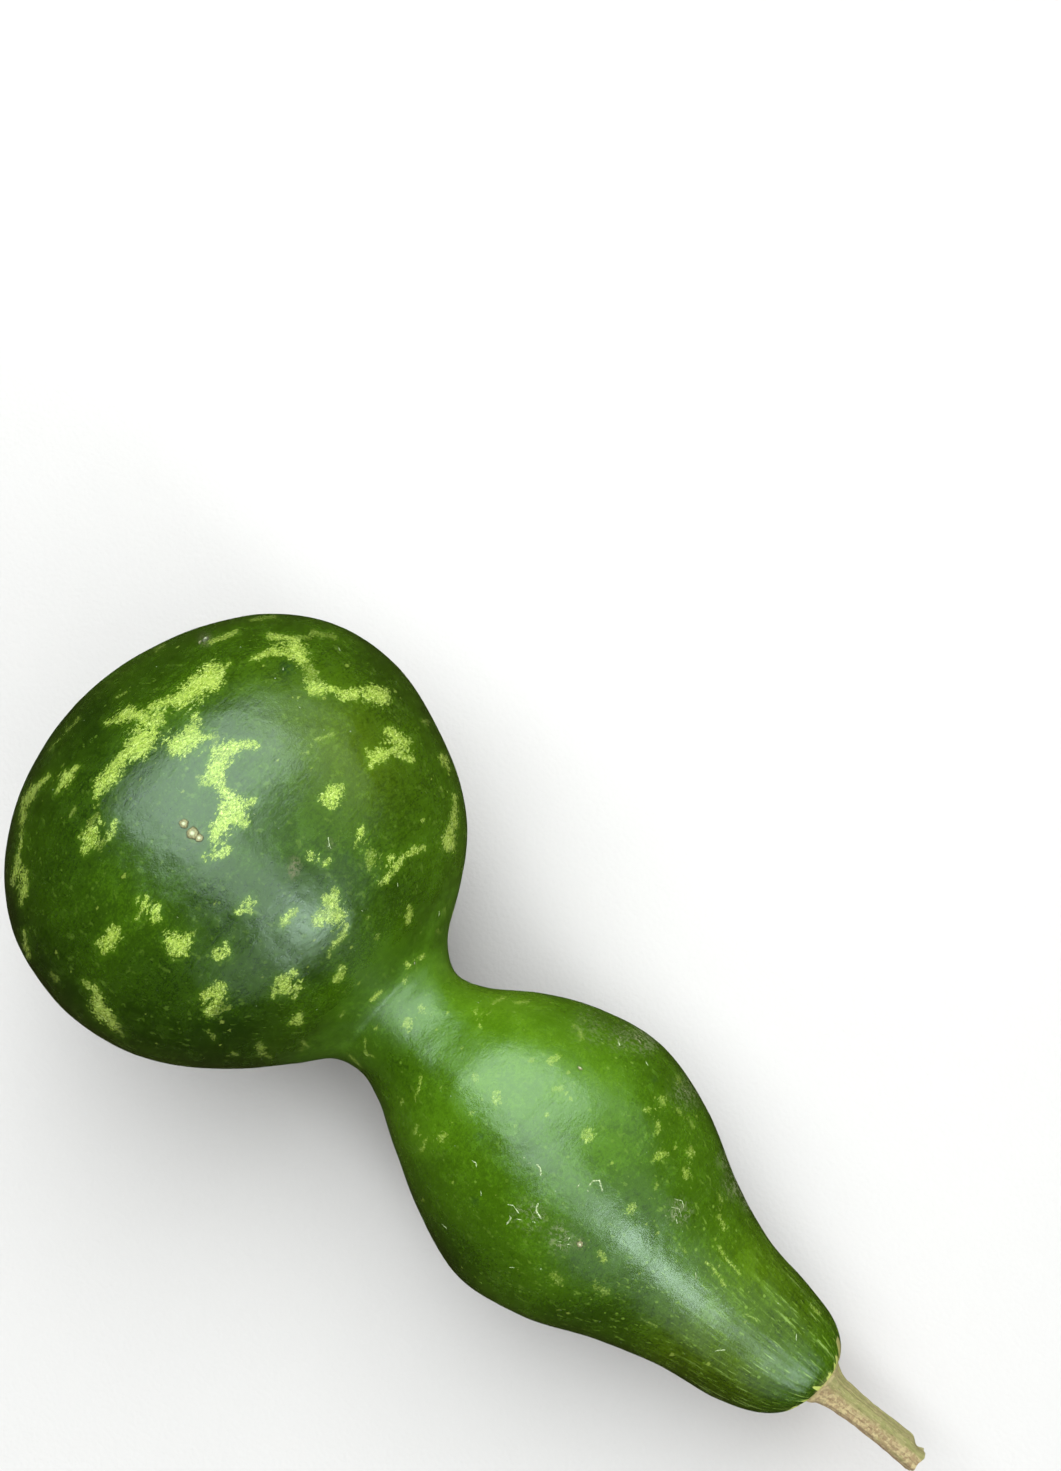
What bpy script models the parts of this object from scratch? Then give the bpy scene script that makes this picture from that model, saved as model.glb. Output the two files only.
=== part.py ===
"""A fresh bottle gourd, as picked, lying on its side: one hard-skinned fruit with two bulbs and a waist, and
the cut stem on its small end.

Metres, +Z up. The long axis runs along X with the stem at +X. The fruit rests on the surface z = 0 on a small
flat under each bulb. The origin is at the bottom, in the middle of the whole gourd's box.
"""

import math

import bmesh
import bpy
from mathutils import Matrix, Vector

MM = 0.001

# ---- Driving dimensions -------------------------------------------------------------------------------------
# The fruit, along its own axis. Station 0 is the blossom end and the stem sits on the last station.
# (station, radius) in millimetres. The first and last rows close the two ends.
GIRTH = [
    (0.0, 0.0),  # blossom end
    (0.9, 11.6),
    (3.8, 22.4),
    (9.4, 34.4),
    (18.3, 46.1),
    (30.8, 55.0),
    (48.3, 59.1),  # widest place of the big bulb
    (63.8, 57.3),
    (77.8, 51.8),
    (90.8, 42.3),
    (100.4, 30.8),
    (107.8, 20.3),
    (114.8, 17.2),  # waist
    (122.3, 19.4),
    (133.3, 26.6),
    (147.8, 34.2),
    (166.3, 38.8),  # widest place of the small bulb
    (184.8, 34.8),
    (202.8, 26.4),
    (218.8, 20.8),
    (234.8, 18.0),  # neck
    (244.8, 14.9),
    (250.2, 10.6),
    (252.2, 5.8),  # rim of the stem's seat
]
# How far the middle of the fruit strays from a straight line: (station, sideways, upwards) in millimetres.
BEND = [
    (0.0, -2.2, 0.5),
    (35.0, 0.3, 0.0),
    (70.0, -0.2, -0.2),
    (95.0, 0.9, -0.6),
    (115.0, -3.6, -1.5),
    (140.0, -2.1, -2.6),
    (170.0, -3.2, -3.0),
    (205.0, -3.4, -2.2),
    (232.0, -2.2, -1.2),
    (252.2, 0.5, -0.4),
]
BULB_FLATTENING = 0.975  # height over width of the big bulb
OUT_OF_ROUND = 0.012  # share of the radius that the sections stray from an ellipse
# The top of the waist lies nearer the big bulb than its two sides do: (station, extra radius on top) in millimetres.
TOP_SWELL = [
    (76.0, 0.0), (82.0, -0.1), (87.0, -0.7), (91.5, -2.1), (96.0, -4.4), (101.0, -8.0), (105.0, -6.2), (109.0, -1.9),
    (114.8, 2.2), (122.3, 4.3), (131.0, 5.1), (140.0, 3.7), (150.0, 2.0), (160.0, 0.7), (170.0, 0.1), (176.0, 0.0),
]
TILT = math.radians(8.3)  # the small end is lower, because the small bulb also rests
SEAT_GAP = 0.3 * MM

STEM_LENGTH = 30.5 * MM
# (share of the length, radius in millimetres, sideways, upwards)
STEM = [
    (0.0, 5.5, 0.8, -0.4),
    (0.06, 4.9, 0.9, -0.3),
    (0.16, 4.2, 1.3, -0.1),
    (0.35, 3.7, 1.9, 0.3),
    (0.60, 3.55, 2.6, 0.8),
    (0.85, 3.6, 3.2, 1.2),
    (1.0, 3.65, 3.4, 1.3),
]
STEM_RIBS = 5
STEM_RIB_DEPTH = 0.10
STEM_CUT_SLANT = 1.2 * MM

ORIGIN_X = 140.6 * MM
ORIGIN_Y = 0.2 * MM
GROUND_Z = -64.8 * MM  # sinks each bulb 0.9 mm, which the resting flat takes off

FRUIT_RINGS = 52
FRUIT_SIDES = 56
STEM_RINGS = 14
STEM_SIDES = 30

GREEN = (0.055, 0.135, 0.018, 1.0)
STEM_GREEN = (0.42, 0.40, 0.20, 1.0)


# ---- Shape functions ----------------------------------------------------------------------------------------
def through(points, first, last, u):
    """A point at u, from 0 to 1, on a smooth curve through points. first and last steer its two ends."""
    row = [first, *points, last]
    steps = [math.sqrt(math.dist(a, b)) for a, b in zip(row, row[1:])]
    span = sum(steps[1:-1])
    at, i = u * span, 1
    while i < len(steps) - 2 and at > steps[i]:
        at -= steps[i]
        i += 1
    t0, t1, t2, t3 = -steps[i - 1], 0.0, steps[i], steps[i] + steps[i + 1]
    t = min(max(at, 0.0), t2)
    p0, p1, p2, p3 = row[i - 1 : i + 3]

    def mix(a, b, ta, tb):
        return [((tb - t) * x + (t - ta) * y) / (tb - ta) for x, y in zip(a, b)]

    a1, a2, a3 = mix(p0, p1, t0, t1), mix(p1, p2, t1, t2), mix(p2, p3, t2, t3)
    return mix(mix(a1, a2, t0, t2), mix(a2, a3, t1, t3), t1, t2)


def along(rows, x):
    """The other columns of rows at x in the first column, with a smooth curve between rows."""
    x = min(max(x, rows[0][0]), rows[-1][0])
    i = 0
    while i < len(rows) - 2 and x > rows[i + 1][0]:
        i += 1

    def slope(k, c):
        lo, hi = max(k - 1, 0), min(k + 1, len(rows) - 1)
        return (rows[hi][c] - rows[lo][c]) / (rows[hi][0] - rows[lo][0])

    wide = rows[i + 1][0] - rows[i][0]
    s = (x - rows[i][0]) / wide
    h = [2 * s**3 - 3 * s**2 + 1, s**3 - 2 * s**2 + s, 3 * s**2 - 2 * s**3, s**3 - s**2]
    return [
        h[0] * rows[i][c] + h[1] * wide * slope(i, c) + h[2] * rows[i + 1][c] + h[3] * wide * slope(i + 1, c)
        for c in range(1, len(rows[0]))
    ]


def fruit_ring(u):
    """(station, radius) of the fruit at u, from 0 at the blossom end to 1 at the stem's seat, in millimetres."""
    first = (GIRTH[1][0], -GIRTH[1][1])
    last = (GIRTH[-1][0] + 0.3, GIRTH[-1][1] - 2.5)
    station, radius = through(GIRTH, first, last, u)
    return station, max(radius, 0.0)


def fruit_point(station, radius, angle):
    """The skin at a station, in the fruit's own axes in millimetres. Angle 0 is +Y and 90 degrees is up."""
    side, up = along(BEND, station)
    waves = math.cos(2 * angle + 0.022 * station + 0.6) + 0.6 * math.cos(3 * angle - 0.031 * station)
    swell = along(TOP_SWELL, station)[0] * max(math.sin(angle), 0.0) ** 1.5
    r = radius * (1 + OUT_OF_ROUND * waves) + swell
    bulb = math.exp(-(((station - 48.0) / 45.0) ** 2))
    tall = 1 - (1 - BULB_FLATTENING) * bulb
    return Vector((station, side + r * math.cos(angle), up + tall * r * math.sin(angle)))


def placed(point):
    """From the fruit's own axes in millimetres to the model's frame in metres."""
    x, y, z = point * MM
    c, s = math.cos(TILT), math.sin(TILT)
    return Vector((x * c + z * s - ORIGIN_X, y - ORIGIN_Y, z * c - x * s - GROUND_Z))


def stem_point(share, angle):
    radius, side, up = along(STEM, share)
    ribs = 1 + STEM_RIB_DEPTH * math.cos(STEM_RIBS * angle + 0.5)
    reach = GIRTH[-1][0] + (SEAT_GAP + share * STEM_LENGTH) / MM
    slant = STEM_CUT_SLANT / MM * share**4 * math.sin(angle)
    y = side + radius * ribs * math.cos(angle)
    z = up + radius * ribs * math.sin(angle)
    return Vector((reach + slant, y, z))


# ---- Building the meshes ------------------------------------------------------------------------------------
def loft(rings, start_point=None):
    """A closed mesh through rings of points, with a point or a flat cap at the start and a flat cap at the end."""
    bm = bmesh.new()
    loops = [[bm.verts.new(p) for p in ring] for ring in rings]
    sides = len(rings[0])
    for a, b in zip(loops, loops[1:]):
        for i in range(sides):
            j = (i + 1) % sides
            bm.faces.new((a[i], b[i], b[j], a[j]))
    if start_point is not None:
        tip = bm.verts.new(start_point)
        for i in range(sides):
            bm.faces.new((tip, loops[0][i], loops[0][(i + 1) % sides]))
    else:
        bm.faces.new(loops[0])
    bm.faces.new(list(reversed(loops[-1])))
    bmesh.ops.recalc_face_normals(bm, faces=bm.faces)
    return bm


def flatten_underside(bm):
    """Cuts the mesh at z = 0 and closes each cut with one flat face."""
    cut = bmesh.ops.bisect_plane(
        bm,
        geom=bm.verts[:] + bm.edges[:] + bm.faces[:],
        dist=1e-7,
        plane_co=(0, 0, 0),
        plane_no=(0, 0, 1),
        clear_inner=True,
    )
    edges = [e for e in cut["geom_cut"] if isinstance(e, bmesh.types.BMEdge)]
    bmesh.ops.holes_fill(bm, edges=edges, sides=0)
    bmesh.ops.recalc_face_normals(bm, faces=bm.faces)


def material(name, colour, roughness):
    made = bpy.data.materials.new(name)
    made.use_nodes = True
    bsdf = made.node_tree.nodes["Principled BSDF"]
    bsdf.inputs["Base Color"].default_value = colour
    bsdf.inputs["Roughness"].default_value = roughness
    bsdf.inputs["Metallic"].default_value = 0.0
    return made


def add(name, bm, made):
    mesh = bpy.data.meshes.new(name)
    bm.to_mesh(mesh)
    bm.free()
    mesh.materials.append(made)
    mesh.shade_smooth()
    mesh.set_sharp_from_angle(angle=math.radians(40))
    obj = bpy.data.objects.new(name, mesh)
    bpy.context.scene.collection.objects.link(obj)
    return obj


def build():
    for obj in list(bpy.data.objects):
        bpy.data.objects.remove(obj)

    turn = [2 * math.pi * i / FRUIT_SIDES for i in range(FRUIT_SIDES)]
    rings = []
    for k in range(1, FRUIT_RINGS + 1):
        station, radius = fruit_ring(k / FRUIT_RINGS)
        rings.append([placed(fruit_point(station, radius, a)) for a in turn])
    fruit = loft(rings, placed(fruit_point(0.0, 0.0, 0.0)))
    flatten_underside(fruit)

    turn = [2 * math.pi * i / STEM_SIDES for i in range(STEM_SIDES)]
    rings = [[placed(stem_point(k / STEM_RINGS, a)) for a in turn] for k in range(STEM_RINGS + 1)]
    stem = loft(rings)

    gourd = bpy.data.objects.new("bottle_gourd", None)
    bpy.context.scene.collection.objects.link(gourd)
    for obj in (
        add("gourd_fruit", fruit, material("gourd_skin", GREEN, 0.42)),
        add("fruit_stem", stem, material("dry_stem", STEM_GREEN, 0.85)),
    ):
        obj.parent = gourd
        obj.matrix_world = Matrix.Identity(4)


build()
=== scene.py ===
"""The finish of a fresh bottle gourd: the same fruit and stem as the CAD, modelled finely, with their skins.

Metres, +Z up, +X from the big bulb's blossom end to the cut stem.
"""

import math
import random

import bmesh
import bpy
import numpy as np
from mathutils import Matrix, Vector, noise


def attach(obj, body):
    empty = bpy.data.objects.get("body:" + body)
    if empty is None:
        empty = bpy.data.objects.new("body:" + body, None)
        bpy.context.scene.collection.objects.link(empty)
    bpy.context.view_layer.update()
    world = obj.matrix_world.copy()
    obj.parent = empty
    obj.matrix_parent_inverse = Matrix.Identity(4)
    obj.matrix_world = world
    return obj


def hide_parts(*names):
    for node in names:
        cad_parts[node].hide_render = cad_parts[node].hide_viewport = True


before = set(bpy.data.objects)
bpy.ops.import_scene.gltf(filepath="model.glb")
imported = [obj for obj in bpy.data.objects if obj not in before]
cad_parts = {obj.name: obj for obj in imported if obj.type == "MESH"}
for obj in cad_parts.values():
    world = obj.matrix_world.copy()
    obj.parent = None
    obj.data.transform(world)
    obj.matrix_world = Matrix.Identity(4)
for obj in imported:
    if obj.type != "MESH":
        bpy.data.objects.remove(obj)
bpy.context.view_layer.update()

MM = 0.001

# ---- The fruit's shape, as in the CAD ---------------------------------------------------------------------------
GIRTH = [
    (0.0, 0.0), (0.9, 11.6), (3.8, 22.4), (9.4, 34.4), (18.3, 46.1), (30.8, 55.0), (48.3, 59.1), (63.8, 57.3),
    (77.8, 51.8), (90.8, 42.3), (100.4, 30.8), (107.8, 20.3), (114.8, 17.2), (122.3, 19.4), (133.3, 26.6),
    (147.8, 34.2), (166.3, 38.8), (184.8, 34.8), (202.8, 26.4), (218.8, 20.8), (234.8, 18.0), (244.8, 14.9),
    (250.2, 10.6), (252.2, 5.8),
]
BEND = [
    (0.0, -2.2, 0.5), (35.0, 0.3, 0.0), (70.0, -0.2, -0.2), (95.0, 0.9, -0.6), (115.0, -3.6, -1.5),
    (140.0, -2.1, -2.6), (170.0, -3.2, -3.0), (205.0, -3.4, -2.2), (232.0, -2.2, -1.2), (252.2, 0.5, -0.4),
]
TOP_SWELL = [
    (76.0, 0.0), (82.0, -0.1), (87.0, -0.7), (91.5, -2.1), (96.0, -4.4), (101.0, -8.0), (105.0, -6.2), (109.0, -1.9),
    (114.8, 2.2), (122.3, 4.3), (131.0, 5.1), (140.0, 3.7), (150.0, 2.0), (160.0, 0.7), (170.0, 0.1), (176.0, 0.0),
]
BULB_FLATTENING = 0.975
OUT_OF_ROUND = 0.012
TILT = math.radians(8.3)
LENGTH = GIRTH[-1][0]
ORIGIN = np.array([140.6, 0.2, -64.8])
STEM = [
    (0.0, 5.5, 0.8, -0.4), (0.06, 4.9, 0.9, -0.3), (0.16, 4.2, 1.3, -0.1), (0.35, 3.7, 1.9, 0.3),
    (0.60, 3.55, 2.6, 0.8), (0.85, 3.6, 3.2, 1.2), (1.0, 3.65, 3.4, 1.3),
]
STEM_LENGTH = 30.5


def through(points, first, last, u):
    row = [first, *points, last]
    steps = [math.sqrt(math.dist(a, b)) for a, b in zip(row, row[1:])]
    at, i = u * sum(steps[1:-1]), 1
    while i < len(steps) - 2 and at > steps[i]:
        at -= steps[i]
        i += 1
    t0, t1, t2, t3 = -steps[i - 1], 0.0, steps[i], steps[i] + steps[i + 1]
    t = min(max(at, 0.0), t2)
    p0, p1, p2, p3 = row[i - 1 : i + 3]

    def mix(a, b, ta, tb):
        return [((tb - t) * x + (t - ta) * y) / (tb - ta) for x, y in zip(a, b)]

    a1, a2, a3 = mix(p0, p1, t0, t1), mix(p1, p2, t1, t2), mix(p2, p3, t2, t3)
    return mix(mix(a1, a2, t0, t2), mix(a2, a3, t1, t3), t1, t2)


def along(rows, x):
    x = min(max(x, rows[0][0]), rows[-1][0])
    i = 0
    while i < len(rows) - 2 and x > rows[i + 1][0]:
        i += 1

    def slope(k, c):
        lo, hi = max(k - 1, 0), min(k + 1, len(rows) - 1)
        return (rows[hi][c] - rows[lo][c]) / (rows[hi][0] - rows[lo][0])

    wide = rows[i + 1][0] - rows[i][0]
    s = (x - rows[i][0]) / wide
    h = [2 * s**3 - 3 * s**2 + 1, s**3 - 2 * s**2 + s, 3 * s**2 - 2 * s**3, s**3 - s**2]
    return [
        h[0] * rows[i][c] + h[1] * wide * slope(i, c) + h[2] * rows[i + 1][c] + h[3] * wide * slope(i + 1, c)
        for c in range(1, len(rows[0]))
    ]


def place(points):
    """From the fruit's own axes in millimetres to the model's frame, still in millimetres."""
    c, s = math.cos(TILT), math.sin(TILT)
    x, y, z = points[..., 0], points[..., 1], points[..., 2]
    return np.stack([x * c + z * s - ORIGIN[0], y - ORIGIN[1], z * c - x * s - ORIGIN[2]], -1)


def smooth(lo, hi, x):
    t = np.clip((x - lo) / (hi - lo), 0.0, 1.0)
    return t * t * (3 - 2 * t)


def normals_of(grid):
    """Outward unit normals of a grid of points: rows along the fruit, columns round it."""
    down = np.gradient(grid, axis=0)
    wrapped = np.concatenate([grid[:, -1:], grid, grid[:, :1]], axis=1)
    around = (wrapped[:, 2:] - wrapped[:, :-2]) / 2
    n = np.cross(around, down)
    n /= np.maximum(np.linalg.norm(n, axis=-1, keepdims=True), 1e-9)
    return n


def perlin(points, scale, seed=0.0):
    """Noise from -1 to 1 at points in millimetres. scale is the size of a feature in millimetres."""
    flat = points.reshape(-1, 3) / scale + seed
    return np.array([noise.noise(Vector(p)) for p in flat]).reshape(points.shape[:-1])


# ---- The camera, at the photograph's angle ----------------------------------------------------------------------
AZIMUTH, ELEVATION, DISTANCE = math.radians(42.7), math.radians(80.0), 0.62
AIM = Vector((-0.05666, 0.07271, 0.03))
FOCAL = 2347.7  # in pixels of a picture 1061 by 1471
PICTURE = (1061, 1471)
back = Vector((math.sin(AZIMUTH) * math.cos(ELEVATION), -math.cos(AZIMUTH) * math.cos(ELEVATION), math.sin(ELEVATION)))
right = Vector((math.cos(AZIMUTH), math.sin(AZIMUTH), 0.0))
up = back.cross(right)
eye = AIM + back * DISTANCE

# The skin's markings are laid out on a grid over the fruit as it lies, seen from above: t runs along it towards
# the stem and k across it towards +Y. One unit is 0.246 mm, and (-213, 0) is near the blossom end.
UNIT = 0.246
GRID_TURN = math.atan2(545, 590)
GRID_ZERO = (235.0, 845.0)


def grid_of(points_mm):
    """The (t, k) of points, and their distance from the eye is left out."""
    v = points_mm * MM - np.array(eye)
    deep = -(v @ np.array(back))
    px = PICTURE[0] / 2 + FOCAL * (v @ np.array(right)) / deep - GRID_ZERO[0]
    py = PICTURE[1] / 2 - FOCAL * (v @ np.array(up)) / deep - GRID_ZERO[1]
    c, s = math.cos(GRID_TURN), math.sin(GRID_TURN)
    return px * c + py * s, px * s - py * c


# ---- The markings: pale patches as strokes, each with its half width and the (t, k) it runs through ---------------
BOLD = [
    # the long chain on the blossom side of the big bulb
    (2, [(-128, 130), (-127, 122)]), (12, [(-132, 110), (-130, 104)]), (10.5, [(-136, 95), (-136, 84)]),
    (8.5, [(-139, 76), (-139, 68)]), (5, [(-147, 60), (-150, 52), (-154, 45)]), (2.5, [(-140, 45), (-136, 42)]),
    (7, [(-143, 38), (-142, 32)]), (6, [(-152, 32), (-162, 28)]), (6.5, [(-168, 26), (-170, 16)]),
    (3, [(-174, 8), (-177, 2)]), (11.5, [(-138, 15), (-138, 4)]), (6.5, [(-142, -6), (-141, -22)]),
    (8.5, [(-138, -32), (-139, -44)]), (3.5, [(-137, -52), (-135, -60)]),
    # the middle of the big bulb
    (11.5, [(-108, 36), (-104, 48)]), (3.5, [(-114, 54), (-112, 66)]), (1.5, [(-118.5, 66), (-118, 73)]),
    (3, [(-98, 55), (-90, 64)]), (4.5, [(-53, 87), (-63, 79)]), (7.5, [(-68, 69), (-71, 58)]),
    (3.5, [(-79, 54), (-76, 58)]), (9, [(-67, 48), (-65, 36)]), (2.5, [(-66, 24), (-67, 20)]),
    (5.5, [(-56, 33), (-42, 33)]), (10.5, [(-31, 28), (-24, 27)]), (4, [(-21, 36), (-17, 43)]),
    (4.5, [(-14, 22), (-7, 22)]), (8.5, [(-24, 14), (-24, 0)]), (5, [(-23, -6), (-20, -10)]),
    (5, [(-3, -9), (-5, -15)]), (3, [(-8, -20), (-7, -22)]), (1.8, [(-15, -30), (-10, -32)]),
    # the far shoulder
    (9, [(-2, 204), (6, 208)]), (6, [(-14, 192), (-22, 184)]), (4, [(-28, 183), (-38, 179)]),
    (7, [(-44, 172), (-50, 168)]), (2, [(-52, 163), (-50, 168)]), (3.5, [(-116, 177), (-105, 185), (-93, 193)]),
    (8.5, [(-90, 183), (-80, 184)]), (4, [(-73, 182), (-77, 183)]), (4.5, [(-92, 176), (-105, 167)]),
    (4, [(-107, 163), (-111, 153)]), (1.5, [(-111, 153), (-114, 146)]), (2.5, [(-155, 133), (-144, 157)]),
    (5.5, [(36, 188), (56, 191)]), (4.5, [(54, 182), (50, 174)]), (3.5, [(60, 178), (73, 183)]),
    (6.5, [(48, 168), (43, 160)]), (3, [(46, 156), (46, 150)]), (2, [(30, 160), (40, 155)]),
    (4.5, [(93, 205), (97, 204)]), (2, [(98, 203), (106, 201)]), (2.5, [(127, 185), (135, 178)]),
    (3.5, [(137, 175), (144, 167)]), (5, [(147, 161), (151, 153)]), (6.5, [(153, 149), (158, 145)]),
    (2, [(121, 145), (121, 146)]), (9, [(38, 104), (38, 100)]), (3, [(38, 110), (38, 117)]), (5, [(33, 94), (43, 94)]),
    (4.5, [(84, 95), (85, 94)]), (1.5, [(80, 102), (81, 98)]), (3.5, [(140, 126), (139, 122)]),
    (4, [(135, 118), (133, 113)]), (2.5, [(131, 108), (131, 110)]), (3.5, [(123, 98), (123, 94)]),
    (4, [(133, 98), (134, 90)]), (4.5, [(134, 84), (134, 78)]), (2.5, [(133, 74), (132, 70)]),
    (2.5, [(170, 73), (174, 70)]), (3.5, [(175, 67), (179, 61)]), (3.2, [(79, 48), (79, 46)]), (1.5, [(79, 50), (79, 55)]),
    (4, [(61, 44), (63, 42)]), (6.5, [(107, 30), (106, 24)]), (4.5, [(102, 23), (104, 20)]), (7.5, [(113, 18), (118, 13)]),
    (6, [(124, 20), (125, 14)]), (2.5, [(130, 18), (137, 16)]), (6, [(112, 6), (112, 0)]), (3.5, [(140, 8), (140, -4)]),
    (2, [(141, -6), (142, -14)]), (2.5, [(214, 46), (213, 43)]), (3.5, [(207, 29), (209, 29)]), (2.5, [(217, 15), (219, 13)]),
    # the near half of the big bulb
    (2.5, [(-169, -50), (-170, -58)]), (5.5, [(-170, -63), (-168, -70)]), (2.5, [(-168, -75), (-167, -82)]),
    (3, [(-184, -76), (-185, -88)]), (4.5, [(-186, -94), (-183, -110)]), (3.5, [(-179, -118), (-173, -127)]),
    (1.8, [(-168, -133), (-163, -139)]), (2, [(-159, -143), (-152, -155)]), (3.5, [(-149, -158), (-142, -170)]),
    (3, [(-141, -172), (-137, -179)]), (4, [(-136, -163), (-130, -169)]), (4, [(-127, -173), (-123, -179)]),
    (2.5, [(-121, -183), (-117, -188)]), (1.8, [(-97, -206), (-90, -211)]), (2.5, [(-88, -214), (-76, -222)]),
    (3.5, [(-104, -65), (-101, -70)]), (2.5, [(-98, -75), (-96, -81)]), (2.5, [(-121, -73), (-115, -74)]),
    (6, [(-116, -88), (-112, -93)]), (4.5, [(-109, -90), (-107, -99)]), (3.5, [(-107, -104), (-106, -108)]),
    (1.5, [(-120, -99), (-117, -101)]), (2, [(-36, -105), (-33, -107)]), (3.5, [(-29, -99), (-27, -106)]),
    (3.5, [(-26, -108), (-24, -112)]), (2, [(-24, -115), (-22, -121)]), (3.5, [(-15, -97), (-15, -104)]),
    (3, [(-13, -106), (-9, -112)]), (1.5, [(-9, -103), (-4, -104)]), (8, [(-29, -148), (-26, -157)]),
    (3, [(-28, -140), (-27, -143)]), (3, [(-23, -164), (-23, -168)]), (3, [(-33, -163), (-32, -166)]),
    (2.5, [(-18, -203), (-12, -204)]), (4, [(-6, -201), (0, -203)]), (7.5, [(6, -209), (18, -213)]), (5, [(24, -212), (34, -215)]),
    (10, [(22, -112), (29, -112)]), (4.5, [(26, -101), (29, -101)]), (3.5, [(16, -106), (17, -112)]),
    (4, [(25, -122), (30, -123)]), (4.5, [(89, -11), (88, -22)]), (3, [(88, -26), (89, -28)]), (1.8, [(88, -5), (89, -9)]),
    (3.5, [(48, -42), (48, -47)]), (1.8, [(45, -28), (46, -38)]), (1.8, [(53, -28), (50, -38)]), (2.8, [(53, -41), (57, -40)]),
    (4, [(162, -19), (165, -24)]), (3.5, [(166, -28), (165, -31)]), (2.8, [(207, -9), (206, -14)]),
    (2.5, [(205, -17), (205, -21)]), (3, [(129, -52), (133, -53)]), (4.5, [(129, -61), (131, -64)]),
    (6.5, [(130, -70), (134, -72)]), (3, [(122, -69), (123, -73)]), (3.5, [(130, -80), (130, -85)]),
    (3, [(145, -59), (143, -64)]), (2.5, [(145, -68), (146, -72)]), (4, [(61, -80), (63, -83)]), (2.5, [(69, -84), (67, -88)]),
    (3.5, [(58, -92), (65, -94)]), (4.5, [(163, -82), (166, -86)]), (3, [(163, -91), (161, -92)]), (6, [(86, -115), (89, -119)]),
    (5, [(80, -126), (80, -132)]), (5, [(89, -125), (92, -130)]), (4.5, [(93, -136), (94, -141)]),
]
# Fainter ones on the waist, the small bulb and the neck.
FAIR = [
    (2.5, [(246, 8), (249, 4)]), (1.5, [(255, 9), (259, 8)]), (5, [(247, -13), (249, -17)]), (2.2, [(313, 74), (321, 84)]),
    (2, [(297, 58), (301, 71)]), (2.2, [(290, 40), (289, 44)]), (1.8, [(302, 34), (304, 32)]), (4.2, [(378, 56), (381, 62)]),
    (6, [(455, 28), (457, 24)]), (1.5, [(457, 31), (458, 35)]), (4.2, [(486, 104), (489, 101)]), (2.5, [(481, 84), (483, 86)]),
    (3.5, [(501, 82), (505, 77)]), (5, [(524, 64), (523, 58)]), (3.5, [(552, 67), (556, 63)]), (4, [(541, 85), (545, 83)]),
    (1.8, [(371, 97), (374, 99)]), (4.5, [(362, -6), (366, -11)]), (1.5, [(418, 42), (419, 41)]), (1.8, [(412, 13), (413, 15)]),
    (2.2, [(355, -36), (356, -38)]), (1.8, [(295, -44), (302, -58)]), (1.5, [(303, -62), (306, -66)]),
    (1.8, [(296, -74), (298, -78)]), (2, [(324, -82), (328, -90)]), (4, [(351, -71), (351, -76)]), (2.2, [(340, -87), (344, -98)]),
    (4.2, [(547, -53), (552, -54)]), (4, [(537, 4), (539, -1)]), (2.6, [(607, 56), (620, 51)]),
    (2, [(627, 33), (640, 30), (662, 27)]), (2, [(630, 13), (634, 14)]), (2, [(640, 13), (658, 9)]),
    (1.2, [(694, 3), (708, 5)]), (1.8, [(734, 53), (748, 52)]), (1.5, [(228, -54), (233, -61), (240, -65)]),
    (1.4, [(225, -77), (242, -77)]), (1.6, [(243, -62), (248, -61)]),
]
# Soft, half-green ones.
SOFT = [
    (7, [(-66, 180), (-57, 176)]), (2, [(-97, 196), (-86, 203)]), (3, [(-87, 209), (-67, 221)]), (2, [(-141, 176), (-125, 196)]),
    (2, [(-190, 90), (-188, 99)]), (1.5, [(-187, 29), (-184, 38)]), (2.5, [(-3, 148), (-12, 132)]), (1.8, [(-9, 118), (-14, 112)]),
    (4, [(-88, 66), (-84, 62)]), (3, [(55, 220), (58, 220)]), (2, [(113, 181), (114, 181)]), (5.5, [(106, 86), (110, 80)]),
    (2.5, [(112, 77), (116, 73)]), (2.5, [(90, 81), (90, 80)]), (1.5, [(197, 96), (200, 91)]), (2, [(207, 75), (209, 74)]),
    (2.5, [(166, 30), (167, 27)]), (1.5, [(147, 40), (147, 35)]), (1.8, [(-201, -12), (-201, -30)]), (1, [(-201, -40), (-201, -58)]),
    (3, [(-122, -70), (-121, -85)]), (3, [(-100, -84), (-97, -95)]), (2, [(-143, -80), (-140, -92)]), (3, [(-47, -219), (-40, -220)]),
    (2.5, [(38, -215), (46, -216)]), (1.5, [(29, -92), (29, -86)]), (1, [(36, -68), (35, -66)]), (2, [(193, -49), (194, -55)]),
    (2.5, [(184, -98), (190, -99)]), (2, [(187, -103), (188, -106)]), (4, [(97, -128), (99, -136)]), (2.5, [(106, -122), (105, -128)]),
    (2.5, [(108, -155), (115, -156)]), (2, [(140, -154), (144, -153)]), (4.5, [(155, -131), (160, -134)]),
    (2, [(163, -134), (170, -132)]), (1.5, [(300, 45), (301, 52)]), (3, [(380, 97), (385, 94)]), (3.5, [(332, -7), (335, -9)]),
    (4, [(402, 38), (404, 42)]), (2, [(363, 42), (364, 45)]), (2.5, [(505, 106), (510, 105)]), (2.5, [(523, 106), (528, 104)]),
    (4, [(571, -78), (576, -76)]), (4, [(526, -100), (534, -99)]), (3, [(540, 37), (542, 34)]), (2, [(592, 72), (600, 68)]),
    (2, [(601, 7), (608, 7)]), (1.6, [(560, -76), (566, -82)]), (1.2, [(620, -72), (636, -68)]), (3, [(484, 130), (486, 129)]),
]
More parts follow.
